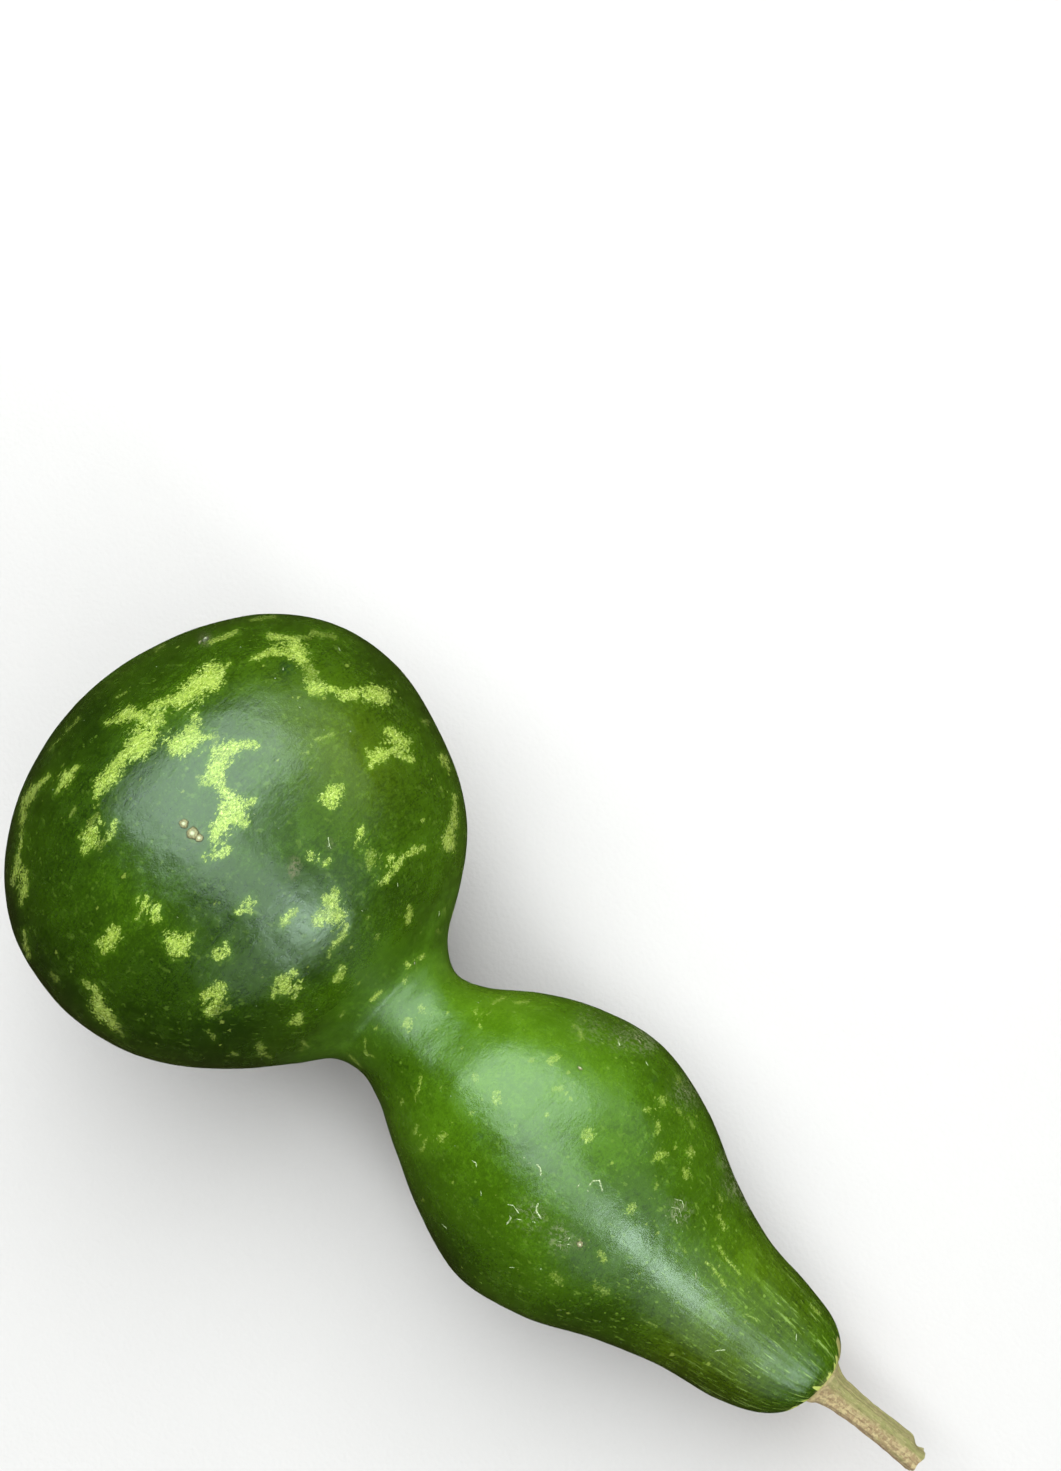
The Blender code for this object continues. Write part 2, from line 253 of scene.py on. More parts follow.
MARKS = [
    (strength, [(t, k, half) for t, k in stroke])
    for strength, rows in ((1.0, BOLD), (0.62, FAIR), (0.42, SOFT))
    for half, stroke in rows
]
# Dry scratches: thin light strokes of (t, k), each with its half width.
SCRATCHES = [
    (0.8, [(491, -10), (491, -4), (495, 1), (500, -2), (505, -5)]),
    (0.7, [(493, -14), (495, -15)]),
    (0.6, [(483, -15), (484, -20)]),
    (0.9, [(438, -30), (443, -30), (447, -33), (449, -36)]),
    (0.7, [(424, -33), (425, -34)]),
    (0.5, [(431, -35), (433, -33)]),
    (0.8, [(466, -57), (467, -62), (471, -65), (479, -67)]),
    (0.5, [(444, -79), (449, -76), (459, -78)]),
    (0.5, [(475, -74), (477, -74)]),
    (0.8, [(453, -86), (456, -87), (457, -95)]),
    (0.5, [(460, -84), (465, -81)]),
    (0.5, [(415, -87), (419, -91)]),
    (0.5, [(388, -71), (393, -70), (396, -73)]),
    (0.6, [(512, -61), (513, -65)]),
    (0.6, [(515, -68), (517, -66)]),
    (0.4, [(506, -72), (509, -70)]),
    (0.5, [(696, -46), (699, -42), (703, -38)]),
    (0.5, [(744, 22), (747, 18), (749, 17)]),
    (0.4, [(628, -1), (634, -7)]),
    (0.4, [(563, 38), (570, 42), (576, 38)]),
    (0.3, [(566, 30), (573, 34), (580, 30)]),
    (0.6, [(577, 25), (582, 22)]),
    (0.5, [(567, 20), (569, 20)]),
    (0.5, [(448, 120), (453, 118)]),
    (0.8, [(414, 116), (419, 114)]),
    (0.6, [(409, -138), (416, -138)]),
    (0.4, [(488, -124), (492, -121)]),
    (0.5, [(195, 90), (198, 86)]),
    (0.5, [(145, 82), (148, 80)]),
    (0.35, [(63, 69), (68, 65), (73, 62)]),
    (0.5, [(709, 32), (711, 32)]),
    (0.6, [(-8, 36), (-6, 36)]),
    (0.5, [(-47, 145), (-45, 145)]),
    (0.6, [(-58, 215), (-54, 214)]),
    (0.4, [(6, -92), (8, -92)]),
    (0.5, [(-85, 163), (-83, 161)]),
    (0.5, [(137, 38), (139, 38)]),
]
# Places where the skin is rubbed and dull: (t, k, radius, how much).
SCUFFS = [
    (432, 136, 22, 1.0), (415, 122, 22, 0.5), (500, 126, 26, 0.45), (575, 32, 20, 0.55), (505, -68, 22, 0.6),
    (468, -72, 26, 0.45), (600, 92, 22, 0.7), (385, 108, 30, 0.3), (575, 101, 14, 0.6), (620, 84, 10, 0.7),
]

# Broad lighter and darker areas: (t, k, radius, how much). They are partly the skin's own tone and partly painted light
# and painted shade, such as the painted shadow on the big bulb's edge at (120, -160) and the painted lighter haze on
# the neck at (670, -66) and (740, -50).
SKIN_TONE_AND_PAINTED_LIGHT = [
    (0, 150, 60, 0.22), (60, 135, 50, 0.14), (-60, -125, 70, 0.12), (10, -150, 70, 0.14), (120, -160, 55, -0.20),
    (0, 195, 40, -0.07), (180, 60, 50, -0.08), (60, -100, 55, -0.08), (315, 35, 40, -0.18), (620, 20, 55, -0.10),
    (560, 20, 55, -0.08), (680, -60, 60, -0.08), (620, -60, 50, -0.04), (400, 60, 40, 0.06),
    (260, -48, 34, -0.40), (300, -45, 42, -0.34), (400, -62, 46, -0.16), (-190, 0, 34, -0.12), (290, 5, 26, -0.14),
    (450, -150, 40, -0.12), (500, -115, 46, 0.10), (670, -66, 60, 0.16), (740, -50, 36, 0.14), (680, 40, 50, 0.16),
    (620, 20, 40, 0.12), (310, 60, 36, 0.06), (220, 30, 26, 0.05),
]
# Where the green is yellower.
WARM = [(0, 152, 62, 0.75), (60, 132, 52, 0.5), (-60, 118, 50, 0.35), (680, 40, 60, 0.5), (680, -75, 60, 0.9), (740, -55, 40, 0.7), (740, 25, 40, 0.4)]
# Darker smudges of (t, k, radius, how dark), and brown rubbed ones.
SMUDGES = [(-82, 165, 9, 0.8), (90, 68, 6, 0.6), (53, 94, 4, 0.6), (418, -99, 5, 0.6), (377, -48, 6, 0.6), (467, 113, 5, 0.5), (105, 20, 18, 0.25)]
BROWN = [(-53, -19, 8, 0.35), (-38, -20, 11, 0.4), (57, 26, 8, 1.0), (62, 19, 7, 0.9), (70, 66, 7, 0.35), (-161, 131, 9, 0.6), (524, -59, 8, 0.5)]

# ---- The fruit's mesh -------------------------------------------------------------------------------------------
RINGS, SIDES = 356, 272


def fruit_rows():
    """Stations and radii at even steps along the skin, with the closed blossom end left to one point."""
    first = (GIRTH[1][0], -GIRTH[1][1])
    last = (GIRTH[-1][0] + 0.3, GIRTH[-1][1] - 2.5)
    fine = np.array([through(GIRTH, first, last, k / 3000) for k in range(3001)])
    fine[:, 1] = np.maximum(fine[:, 1], 0.0)
    run = np.concatenate([[0.0], np.cumsum(np.linalg.norm(np.diff(fine, axis=0), axis=1))])
    at = np.linspace(0, run[-1], RINGS + 1)[1:]
    return np.interp(at, run, fine[:, 0]), np.interp(at, run, fine[:, 1]), at


def fruit_grid(station, radius, angle):
    """Points of the skin in the fruit's own axes, in millimetres, for arrays of the same shape."""
    lines = np.array([along(BEND, s) for s in station[:, 0]])
    side, lift = lines[:, 0][:, None], lines[:, 1][:, None]
    waves = np.cos(2 * angle + 0.022 * station + 0.6) + 0.6 * np.cos(3 * angle - 0.031 * station)
    swell = np.array([along(TOP_SWELL, s)[0] for s in station[:, 0]])[:, None] * np.maximum(np.sin(angle), 0.0) ** 1.5
    r = radius * (1 + OUT_OF_ROUND * waves) + swell
    bulb = np.exp(-(((station - 48.0) / 45.0) ** 2))
    tall = 1 - (1 - BULB_FLATTENING) * bulb
    return np.stack([station + 0 * angle, side + r * np.cos(angle), lift + tall * r * np.sin(angle)], -1)


def nearest_mark(t, k, marks):
    """For each point the vector to the nearest stroke, its half width there, how deep inside it the point is and
    how pale it is. All in the units of t and k."""
    best = np.full(t.shape, -1e9)
    dt, dk, wide, pale = (np.zeros(t.shape) for _ in range(4))
    for strength, stroke in marks:
        pts = stroke if len(stroke) > 1 else [stroke[0], (stroke[0][0] + 0.01, stroke[0][1], stroke[0][2])]
        ts, ks = [p[0] for p in pts], [p[1] for p in pts]
        near = (t > min(ts) - 60) & (t < max(ts) + 60) & (k > min(ks) - 60) & (k < max(ks) + 60)
        if not near.any():
            continue
        tn, kn = t[near], k[near]
        b, bdt, bdk, bw, bp = best[near], dt[near], dk[near], wide[near], pale[near]
        for (t0, k0, r0), (t1, k1, r1) in zip(pts, pts[1:]):
            span = (t1 - t0) ** 2 + (k1 - k0) ** 2
            h = np.clip(((tn - t0) * (t1 - t0) + (kn - k0) * (k1 - k0)) / span, 0, 1)
            vt, vk, r = tn - t0 - h * (t1 - t0), kn - k0 - h * (k1 - k0), r0 + h * (r1 - r0)
            inside = r - np.hypot(vt, vk)
            win = inside > b
            b[win], bdt[win], bdk[win], bw[win], bp[win] = inside[win], vt[win], vk[win], r[win], strength
        best[near], dt[near], dk[near], wide[near], pale[near] = b, bdt, bdk, bw, bp
    return best, dt, dk, wide, pale


def hidden_marks():
    """Strokes of the same kind for the far side and the underside: (strength, [(station, angle, half width)])."""
    rng = random.Random(11)
    out = []
    for _ in range(46):
        s = rng.uniform(6, 108)
        a = rng.uniform(math.radians(178), math.radians(362))
        turn = rng.uniform(-0.8, 0.8) + math.pi / 2
        size = rng.choice([1.0, 1.4, 1.8, 2.4, 3.4])
        stroke = []
        for j in range(rng.choice([1, 2, 3, 4, 5])):
            stroke.append((s, a, size * rng.uniform(0.55, 1.1)))
            turn += rng.uniform(-0.7, 0.7)
            s = min(max(s + 3.4 * math.cos(turn), 2.0), 110.0)
            a += 3.4 * math.sin(turn) / 52.0
        out.append((rng.uniform(0.7, 1.0), stroke))
    for _ in range(40):
        s = rng.uniform(112, 225)
        a = rng.uniform(math.radians(175), math.radians(365))
        out.append((rng.uniform(0.3, 0.6), [(s, a, rng.uniform(0.5, 1.1)), (s + rng.uniform(-2, 2), a + rng.uniform(-0.05, 0.05), rng.uniform(0.3, 0.7))]))
    return out


def build_fruit():
    station, radius, run = fruit_rows()
    angle = np.arange(SIDES) * 2 * math.pi / SIDES
    S, A = np.meshgrid(station, angle, indexing="ij")
    R = np.repeat(radius[:, None], SIDES, axis=1)
    own = fruit_grid(S, R, A)
    n = normals_of(own)
    # slow unevenness, fine waviness, soft ridges running into the stem, and the blossom scar
    rise = 0.34 * perlin(own, 34.0) + 0.16 * perlin(own, 13.0, 7.3) + 0.045 * perlin(own, 4.5, 3.1)
    drift = A + 0.16 * perlin(own * np.array([0.25, 1.0, 1.0]), 9.0, 2.7)
    ridge = 0.7 * np.cos(11 * drift + 0.6) + 0.5 * np.cos(22 * drift + 1.1) + 0.5 * np.cos(35 * drift + 0.4)
    ridge *= 0.55 + 0.9 * np.abs(perlin(own * np.array([0.4, 1.0, 1.0]), 7.0, 8.1))
    rise += 0.055 * ridge * smooth(212, 246, S) * smooth(253.5, 249.0, S)
    rise += 0.015 * ridge * smooth(196, 214, S)
    rise += 0.10 * np.cos(5 * A + 2.0) * smooth(96, 114, S) * smooth(134, 116, S)
    pole = np.hypot(own[..., 1] + 2.2, own[..., 2] - 0.5)
    rise += 0.75 * smooth(4.4, 2.6, pole) - 0.55 * smooth(1.7, 0.8, pole) - 0.35 * smooth(9.0, 4.2, pole)
    own = own + n * rise[..., None]
    points = place(own)
    flat = points[..., 2] < 0.0
    points[..., 2] = np.maximum(points[..., 2], 0.0)

    facing = points * MM
    view = np.array(eye) - facing
    view /= np.linalg.norm(view, axis=-1, keepdims=True)
    c, s = math.cos(TILT), math.sin(TILT)
    world_n = np.stack([n[..., 0] * c + n[..., 2] * s, n[..., 1], n[..., 2] * c - n[..., 0] * s], -1)
    seen = (world_n * view).sum(-1)

    t, k = grid_of(points)
    best, dt, dk, wide, pale = nearest_mark(t, k, MARKS)
    best, dt, dk, wide = best * UNIT, dt * UNIT, dk * UNIT, wide * UNIT
    out = seen < 0.03
    best[out], wide[out], dt[out], dk[out] = -30.0, 0.5, 30.0, 0.0
    # the hidden side's own strokes, measured over the skin
    for strength, stroke in hidden_marks():
        pts = stroke if len(stroke) > 1 else [stroke[0], (stroke[0][0] + 0.01, stroke[0][1], stroke[0][2])]
        for (s0, a0, r0), (s1, a1, r1) in zip(pts, pts[1:]):
            close = np.abs(S - s0) < 22
            mean = np.maximum(R, 6.0)
            da = (A - a0 + math.pi) % (2 * math.pi) - math.pi
            x, y = S - s0, da * mean
            ex, ey = s1 - s0, (a1 - a0) * mean
            h = np.clip((x * ex + y * ey) / np.maximum(ex * ex + ey * ey, 1e-9), 0, 1)
            vx, vy, r = x - h * ex, y - h * ey, r0 + h * (r1 - r0)
            inside = r - np.hypot(vx, vy)
            win = close & (inside > best) & (seen < 0.12)
            best[win], dt[win], dk[win], wide[win], pale[win] = inside[win], vx[win], vy[win], r[win], strength

    # how fresh and bright the green is: dark on the big bulb, grassy at the waist and the start of the small bulb; the
    # lighter top and +Y side and the darker underside are painted light and shade
    green_tone_and_painted_light = 0.20 + 0.52 * np.exp(-(((S - 121.0) / 21.0) ** 2)) + 0.21 * np.exp(-(((S - 158.0) / 34.0) ** 2))
    green_tone_and_painted_light += 0.02 * smooth(170, 240, S)
    # painted light and shade: the top and the +Y side lighter, the underside darker
    green_tone_and_painted_light += 0.16 * np.sin(A) * smooth(60, 130, S) + 0.12 * np.cos(A) + 0.06 * np.sin(A)
    green_tone_and_painted_light += 0.10 * perlin(own, 30.0, 5.0) + 0.06 * perlin(own, 11.0, 9.0)
    green_tone_and_painted_light = np.clip(green_tone_and_painted_light, 0.0, 1.0)
    ground_spot = smooth(0.55, 1.0, -world_n[..., 2]) * (0.75 + 0.35 * perlin(own, 16.0, 2.0))

    scuff = np.zeros(t.shape)
    for st, sk, sr, amount in SCUFFS:
        scuff = np.maximum(scuff, amount * smooth(1.0, 0.25, np.hypot(t - st, k - sk) / sr) * (seen > 0.0))

    def blots(rows):
        out = np.zeros(t.shape)
        for st, sk, sr, amount in rows:
            out = np.maximum(out, amount * smooth(1.25, 0.2, np.hypot(t - st, k - sk) / sr) * (seen > 0.0))
        return out

    mesh = bpy.data.meshes.new("gourd")
    count = RINGS * SIDES
    tip = place(np.array([[-0.35 + 0.0, -2.2, 0.5]]))[0]
    end = place(np.array([[LENGTH - 1.2, along(BEND, LENGTH)[0] + 0.2, along(BEND, LENGTH)[1]]]))[0]
    verts = np.concatenate([points.reshape(-1, 3), [tip], [end]]) * MM
    i = np.arange(RINGS - 1)[:, None] * SIDES + np.arange(SIDES)[None, :]
    j = np.arange(RINGS - 1)[:, None] * SIDES + (np.arange(SIDES)[None, :] + 1) % SIDES
    quads = np.stack([i, j, j + SIDES, i + SIDES], -1).reshape(-1, 4)
    ring = np.arange(SIDES)
    nxt = (ring + 1) % SIDES
    lastring = (RINGS - 1) * SIDES
    faces = [tuple(q) for q in quads.tolist()]
    faces += [(count, int(b), int(a)) for a, b in zip(ring, nxt)]
    faces += [(count + 1, int(lastring + a), int(lastring + b)) for a, b in zip(ring, nxt)]
    mesh.from_pydata(verts.tolist(), [], faces)
    bm = bmesh.new()
    bm.from_mesh(mesh)
    bmesh.ops.recalc_face_normals(bm, faces=bm.faces)
    bm.to_mesh(mesh)
    bm.free()
    mesh.shade_smooth()

    def spread(values, last_values):
        return np.concatenate([values.reshape((count,) + values.shape[2:]), last_values])

    def scalar(name, values, pole_value, end_value):
        layer = mesh.attributes.new(name, "FLOAT", "POINT")
        layer.data.foreach_set("value", spread(values, np.array([pole_value, end_value])).astype(np.float32))

    def vector(name, values, pole_value, end_value):
        layer = mesh.attributes.new(name, "FLOAT_VECTOR", "POINT")
        layer.data.foreach_set("vector", spread(values, np.array([pole_value, end_value])).astype(np.float32).ravel())

    vector("mark", np.stack([dt, dk, wide], -1), (30, 0, 0.5), (30, 0, 0.5))
    scalar("mark_depth", np.clip(best, -30, 10), -30, -30)
    scalar("mark_pale", pale, 0, 0)
    scalar("scuff", scuff, 0, 0)
    # the broad lighter and darker areas, partly the skin's own tone and partly painted light and shade, go into the
    # green's tone on the side the camera sees
    shade = sum(amount * np.exp(-((np.hypot(t - st, k - sk) / sr) ** 2)) for st, sk, sr, amount in SKIN_TONE_AND_PAINTED_LIGHT)
    warm = sum(amount * np.exp(-((np.hypot(t - st, k - sk) / sr) ** 2)) for st, sk, sr, amount in WARM)
    facing = smooth(-0.05, 0.25, seen)
    green_tone_and_painted_light = np.clip(green_tone_and_painted_light + shade * facing, 0.0, 1.0)
    scalar("warm", np.clip(warm * facing, 0, 1), 0, 0)
    # the skin is duller in the hollow of the waist
    dull = np.exp(-(((S - 106.0) / 9.0) ** 4))
    scalar("dull", dull, 0, 0)
    scalar("green_tone_and_painted_light", green_tone_and_painted_light, 0.2, 0.5)
    scalar("smudge", blots(SMUDGES), 0, 0)
    scalar("brown", blots(BROWN), 0, 0)
    scalar("ground_spot", np.clip(ground_spot, 0, 1), 0, 0)
    vector("polar", np.stack([S / 10, np.cos(A), np.sin(A)], -1), (0, 0, 0), (LENGTH / 10, 0, 0))
    scalar("seat", run[-1] - np.repeat(run[:, None], SIDES, axis=1), run[-1], 0)
    scalar("pole", np.hypot(own[..., 1] + 2.2, own[..., 2] - 0.5) + np.maximum(S - 20, 0), 0, 99)
    return mesh, points, world_n, seen, t, k


# ---- Node helpers -----------------------------------------------------------------------------------------------
class Nodes:
    """A short way to write node trees: every call adds a node and returns its output."""

    def __init__(self, name):
        self.material = bpy.data.materials.new(name)
        self.material.use_nodes = True
        self.tree = self.material.node_tree
        self.bsdf = self.tree.nodes["Principled BSDF"]

    def link(self, value, socket):
        if isinstance(value, bpy.types.NodeSocket):
            self.tree.links.new(value, socket)
        elif value is not None:
            if socket.type == "RGBA" and len(value) == 3:
                value = (*value, 1.0)
            socket.default_value = value

    def new(self, kind, **props):
        node = self.tree.nodes.new(kind)
        for key, value in props.items():
            setattr(node, key, value)
        return node

    def math(self, op, a, b=None, c=None, clamp=False):
        node = self.new("ShaderNodeMath", operation=op, use_clamp=clamp)
        for value, socket in zip((a, b, c), node.inputs):
            self.link(value, socket)
        return node.outputs[0]

    def vec(self, op, a, b=None, scale=None):
        node = self.new("ShaderNodeVectorMath", operation=op)
        self.link(a, node.inputs[0])
        if b is not None:
            self.link(b, node.inputs[1])
        if scale is not None:
            self.link(scale, node.inputs["Scale"])
        return node.outputs["Value"] if op in ("LENGTH", "DOT_PRODUCT", "DISTANCE") else node.outputs[0]

    def split(self, vector):
        node = self.new("ShaderNodeSeparateXYZ")
        self.link(vector, node.inputs[0])
        return node.outputs[0], node.outputs[1], node.outputs[2]

    def join(self, x, y, z):
        node = self.new("ShaderNodeCombineXYZ")
        for value, socket in zip((x, y, z), node.inputs):
            self.link(value, socket)
        return node.outputs[0]

    def ramp(self, value, lo, hi, to_lo=0.0, to_hi=1.0, kind="SMOOTHSTEP"):
        node = self.new("ShaderNodeMapRange", interpolation_type=kind, clamp=True)
        for v, socket in zip((value, lo, hi, to_lo, to_hi), node.inputs):
            self.link(v, socket)
        return node.outputs[0]

    def mix(self, amount, a, b, blend="MIX"):
        node = self.new("ShaderNodeMix", data_type="RGBA", blend_type=blend, clamp_factor=True)
        self.link(amount, node.inputs["Factor"])
        self.link(a, node.inputs[6])
        self.link(b, node.inputs[7])
        return node.outputs[2]

    def noise(self, vector, scale, detail=2.0, rough=0.5, distortion=0.0, lacunarity=2.0):
        node = self.new("ShaderNodeTexNoise", noise_dimensions="3D")
        self.link(vector, node.inputs["Vector"])
        node.inputs["Scale"].default_value = scale
        node.inputs["Detail"].default_value = detail
        node.inputs["Roughness"].default_value = rough
        node.inputs["Distortion"].default_value = distortion
        node.inputs["Lacunarity"].default_value = lacunarity
        return node.outputs["Fac"] if "Fac" in node.outputs else node.outputs[0]

    def cells(self, vector, scale, randomness=1.0, feature="F1"):
        node = self.new("ShaderNodeTexVoronoi", voronoi_dimensions="3D", feature=feature)
        self.link(vector, node.inputs["Vector"])
        node.inputs["Scale"].default_value = scale
        node.inputs["Randomness"].default_value = randomness
        return node.outputs["Distance"], node.outputs["Color"]

    def attribute(self, name):
        return self.new("ShaderNodeAttribute", attribute_name=name)

    def bump(self, height, strength=1.0, distance=MM):
        node = self.new("ShaderNodeBump")
        node.inputs["Strength"].default_value = strength
        node.inputs["Distance"].default_value = distance
        self.link(height, node.inputs["Height"])
        return node.outputs[0]

    def finish(self, colour, roughness, normal, **fixed):
        self.link(colour, self.bsdf.inputs["Base Color"])
        self.link(roughness, self.bsdf.inputs["Roughness"])
        self.link(normal, self.bsdf.inputs["Normal"])
        for name, value in fixed.items():
            self.bsdf.inputs[name.replace("_", " ")].default_value = value
        if "Coat_Weight" in fixed:
            self.link(normal, self.bsdf.inputs["Coat Normal"])
        return self.material


def gourd_skin():
    m = Nodes("gourd_skin")
    where = m.new("ShaderNodeTexCoord").outputs["Object"]
    mm = m.vec("SCALE", where, scale=1000.0)
    x, y, z = m.split(mm)
    across = m.join(m.math("MULTIPLY", x, 1.7), y, z)  # the grain runs round the fruit
    polar = m.attribute("polar").outputs["Vector"]
    station, ca, sa = m.split(polar)
    station = m.math("MULTIPLY", station, 10.0)
    # the green's tone carries painted light and shade: a lighter top and +Y side, a darker underside, and the broad
    # painted lighter and darker areas
    green_tone_and_painted_light = m.attribute("green_tone_and_painted_light").outputs["Fac"]

    # -- the green itself, with painted light and shade carried in its tone
    slow = m.noise(mm, 0.045, 3.0, 0.55)
    mid = m.noise(mm, 0.21, 4.0, 0.6)
    fine = m.noise(across, 0.85, 5.0, 0.62)
    grain = m.noise(mm, 2.6, 3.0, 0.55)
    hair_at = m.join(m.math("MULTIPLY", x, 1.15), m.math("MULTIPLY", y, 0.085), m.math("MULTIPLY", z, 0.085))
    hair = m.noise(hair_at, 1.0, 5.0, 0.66)
    hair_amount = m.ramp(station, 96.0, 122.0, 1.0, 0.32)
    streak_at = m.join(m.math("MULTIPLY", station, 0.085), m.math("MULTIPLY", ca, 19.0), m.math("MULTIPLY", sa, 19.0))
    streak = m.noise(streak_at, 1.0, 6.0, 0.72)
    streak_amount = m.ramp(station, 180.0, 238.0, 0.0, 1.0)

    tone = m.math("ADD", green_tone_and_painted_light, m.math("MULTIPLY", m.math("SUBTRACT", slow, 0.5), 0.55))
    tone = m.math("ADD", tone, m.math("MULTIPLY", m.math("SUBTRACT", mid, 0.5), 0.42))
    tone = m.math("ADD", tone, m.math("MULTIPLY", m.math("SUBTRACT", fine, 0.5), 0.68))
    tone = m.math("ADD", tone, m.math("MULTIPLY", m.math("SUBTRACT", grain, 0.5), 0.40))
    tone = m.math("ADD", tone, m.math("MULTIPLY", m.math("MULTIPLY", m.math("SUBTRACT", hair, 0.5), 0.34), hair_amount))
    tone = m.math("ADD", tone, m.math("MULTIPLY", m.math("MULTIPLY", m.math("SUBTRACT", streak, 0.5), 1.1), streak_amount))
    node = m.new("ShaderNodeValToRGB")
    m.link(tone, node.inputs[0])
    stops = node.color_ramp
    stops.interpolation = "EASE"
    stops.elements[0].position, stops.elements[0].color = 0.0, (*GREENS[0], 1)
    stops.elements[1].position, stops.elements[1].color = 1.0, (*GREENS[-1], 1)
    for position, shade in zip((0.25, 0.5, 0.75), GREENS[1:-1]):
        stops.elements.new(position).color = (*shade, 1)
    colour = node.outputs[0]

    colour = m.mix(m.math("MULTIPLY", m.attribute("warm").outputs["Fac"], 0.85), colour, (1.45, 1.0, 0.75), "MULTIPLY")

    # -- the pale patches, with ragged edges
    mark = m.attribute("mark").outputs["Vector"]
    mt, mk, mr = m.split(mark)
    depth = m.math("SUBTRACT", mr, m.vec("LENGTH", m.join(mt, mk, 0.0)))
    depth = m.math("MINIMUM", depth, m.math("ADD", m.attribute("mark_depth").outputs["Fac"], 0.9))
    bold = m.ramp(mr, 0.2, 2.8, 0.24, 1.0, "LINEAR")
    wander = m.math("MULTIPLY", m.math("SUBTRACT", m.noise(across, 0.34, 3.0, 0.6), 0.5), 3.6)
    cell_tint = m.cells(across, 1.45)[1]
    cell_step = m.math("MULTIPLY", m.math("SUBTRACT", m.split(cell_tint)[0], 0.5), 1.5)
    crumb_tint = m.cells(mm, 3.1)[1]
    crumb_step = m.math("MULTIPLY", m.math("SUBTRACT", m.split(crumb_tint)[0], 0.5), 0.9)
    nibble = m.math("MULTIPLY", m.math("SUBTRACT", m.noise(across, 1.1, 6.0, 0.75), 0.5), 4.6)
    ragged = m.math("ADD", m.math("ADD", wander, nibble), m.math("ADD", cell_step, crumb_step))
    edge = m.math("ADD", depth, m.math("MULTIPLY", ragged, bold))
    edge = m.math("ADD", edge, m.ramp(mr, 1.0, 2.4, -0.10, 0.06))
    patch = m.ramp(edge, -0.05, 0.08)
    halo = m.ramp(edge, -1.8, 0.2)
    strength = m.attribute("mark_pale").outputs["Fac"]
    veins = m.noise(across, 1.25, 5.0, 0.72)
    pale = m.mix(m.ramp(veins, 0.40, 0.60), PALE[2], PALE[0])
    pale = m.mix(m.ramp(m.math("ADD", veins, m.math("MULTIPLY", m.math("SUBTRACT", m.split(crumb_tint)[1], 0.5), 0.22)), 0.54, 0.70), pale, PALE[1])
    worms = m.math("ABSOLUTE", m.math("SUBTRACT", m.noise(across, 0.62, 4.0, 0.62, 0.6), 0.5))
    veining = m.ramp(worms, 0.004, 0.050, 0.10, 1.0)
    threads = m.math("ABSOLUTE", m.math("SUBTRACT", m.noise(across, 1.35, 3.0, 0.6, 0.4), 0.5))
    threading = m.ramp(threads, 0.0, 0.055, 0.12, 1.0)
    gaps = m.math("MULTIPLY", veining, threading)
    core = m.math("MULTIPLY", m.ramp(edge, 0.0, 0.6, 0.72, 1.0), m.math("ADD", gaps, m.ramp(edge, 0.6, 2.6, 0.0, 0.42)), clamp=True)
    patch_amount = m.math("MULTIPLY", m.math("MULTIPLY", patch, strength), core)
    colour = m.mix(m.math("MULTIPLY", m.math("MULTIPLY", halo, strength), 0.20), colour, GREENS[4])
    colour = m.mix(patch_amount, colour, pale)

    # -- small flecks scattered everywhere, and fewer, larger ones
    far, tint = m.cells(mm, 0.58)
    tr, tg, tb = m.split(tint)
    fleck = m.math("MULTIPLY", m.ramp(m.math("SUBTRACT", far, m.math("MULTIPLY", tr, 0.26)), -0.05, 0.07, 1.0, 0.0), m.ramp(tg, 0.62, 0.80))
    fleck = m.math("MULTIPLY", fleck, m.ramp(m.noise(mm, 0.06, 2.0), 0.42, 0.62, 0.25, 0.8))
    colour = m.mix(m.math("MULTIPLY", fleck, m.ramp(station, 90.0, 150.0, 0.36, 0.90)), colour, FLECK)
    far2, tint2 = m.cells(across, 0.21)
    ur, ug, ub = m.split(tint2)
    rag2 = m.math("MULTIPLY", m.math("SUBTRACT", m.noise(across, 1.4, 4.0, 0.7), 0.5), 0.5)
    spot = m.math("SUBTRACT", m.math("ADD", far2, rag2), m.math("MULTIPLY", ur, 0.17))
    spot = m.math("MULTIPLY", m.ramp(spot, -0.03, 0.03, 1.0, 0.0), m.ramp(ug, 0.72, 0.74))
    colour = m.mix(m.math("MULTIPLY", spot, 0.34), colour, PALE[0])

    dash_at = m.join(m.math("MULTIPLY", station, 0.42), m.math("MULTIPLY", ca, 24.0), m.math("MULTIPLY", sa, 24.0))
    dash = m.noise(dash_at, 1.0, 3.0, 0.6)
    dash = m.math("MULTIPLY", m.ramp(dash, 0.60, 0.70), m.ramp(station, 150.0, 215.0, 0.22, 0.60))
    colour = m.mix(dash, colour, FLECK)

    # -- pale lines running into the stem, and the toothed yellow ring at its foot
    line = m.math("MULTIPLY", m.ramp(streak, 0.57, 0.65), m.ramp(station, 208.0, 248.0, 0.0, 0.85))
    colour = m.mix(line, colour, LINE)
    seat = m.attribute("seat").outputs["Fac"]
    teeth_at = m.join(0.0, m.math("MULTIPLY", ca, 2.6), m.math("MULTIPLY", sa, 2.6))
    teeth = m.noise(teeth_at, 1.0, 3.0, 0.6)
    reach = m.math("ADD", m.math("MULTIPLY", m.ramp(teeth, 0.40, 0.60), 4.8), m.ramp(ca, -0.60, -0.15, 0.0, 2.0))
    tan_side = m.ramp(ca, 0.50, 0.90)
    reach = m.math("ADD", reach, m.math("MULTIPLY", tan_side, 2.2))
    ring = m.ramp(m.math("SUBTRACT", seat, m.math("ADD", reach, 1.6)), -0.35, 0.35, 1.0, 0.0)
    colour = m.mix(m.math("MULTIPLY", ring, 0.85), colour, m.mix(tan_side, RING, (0.43, 0.31, 0.14)))

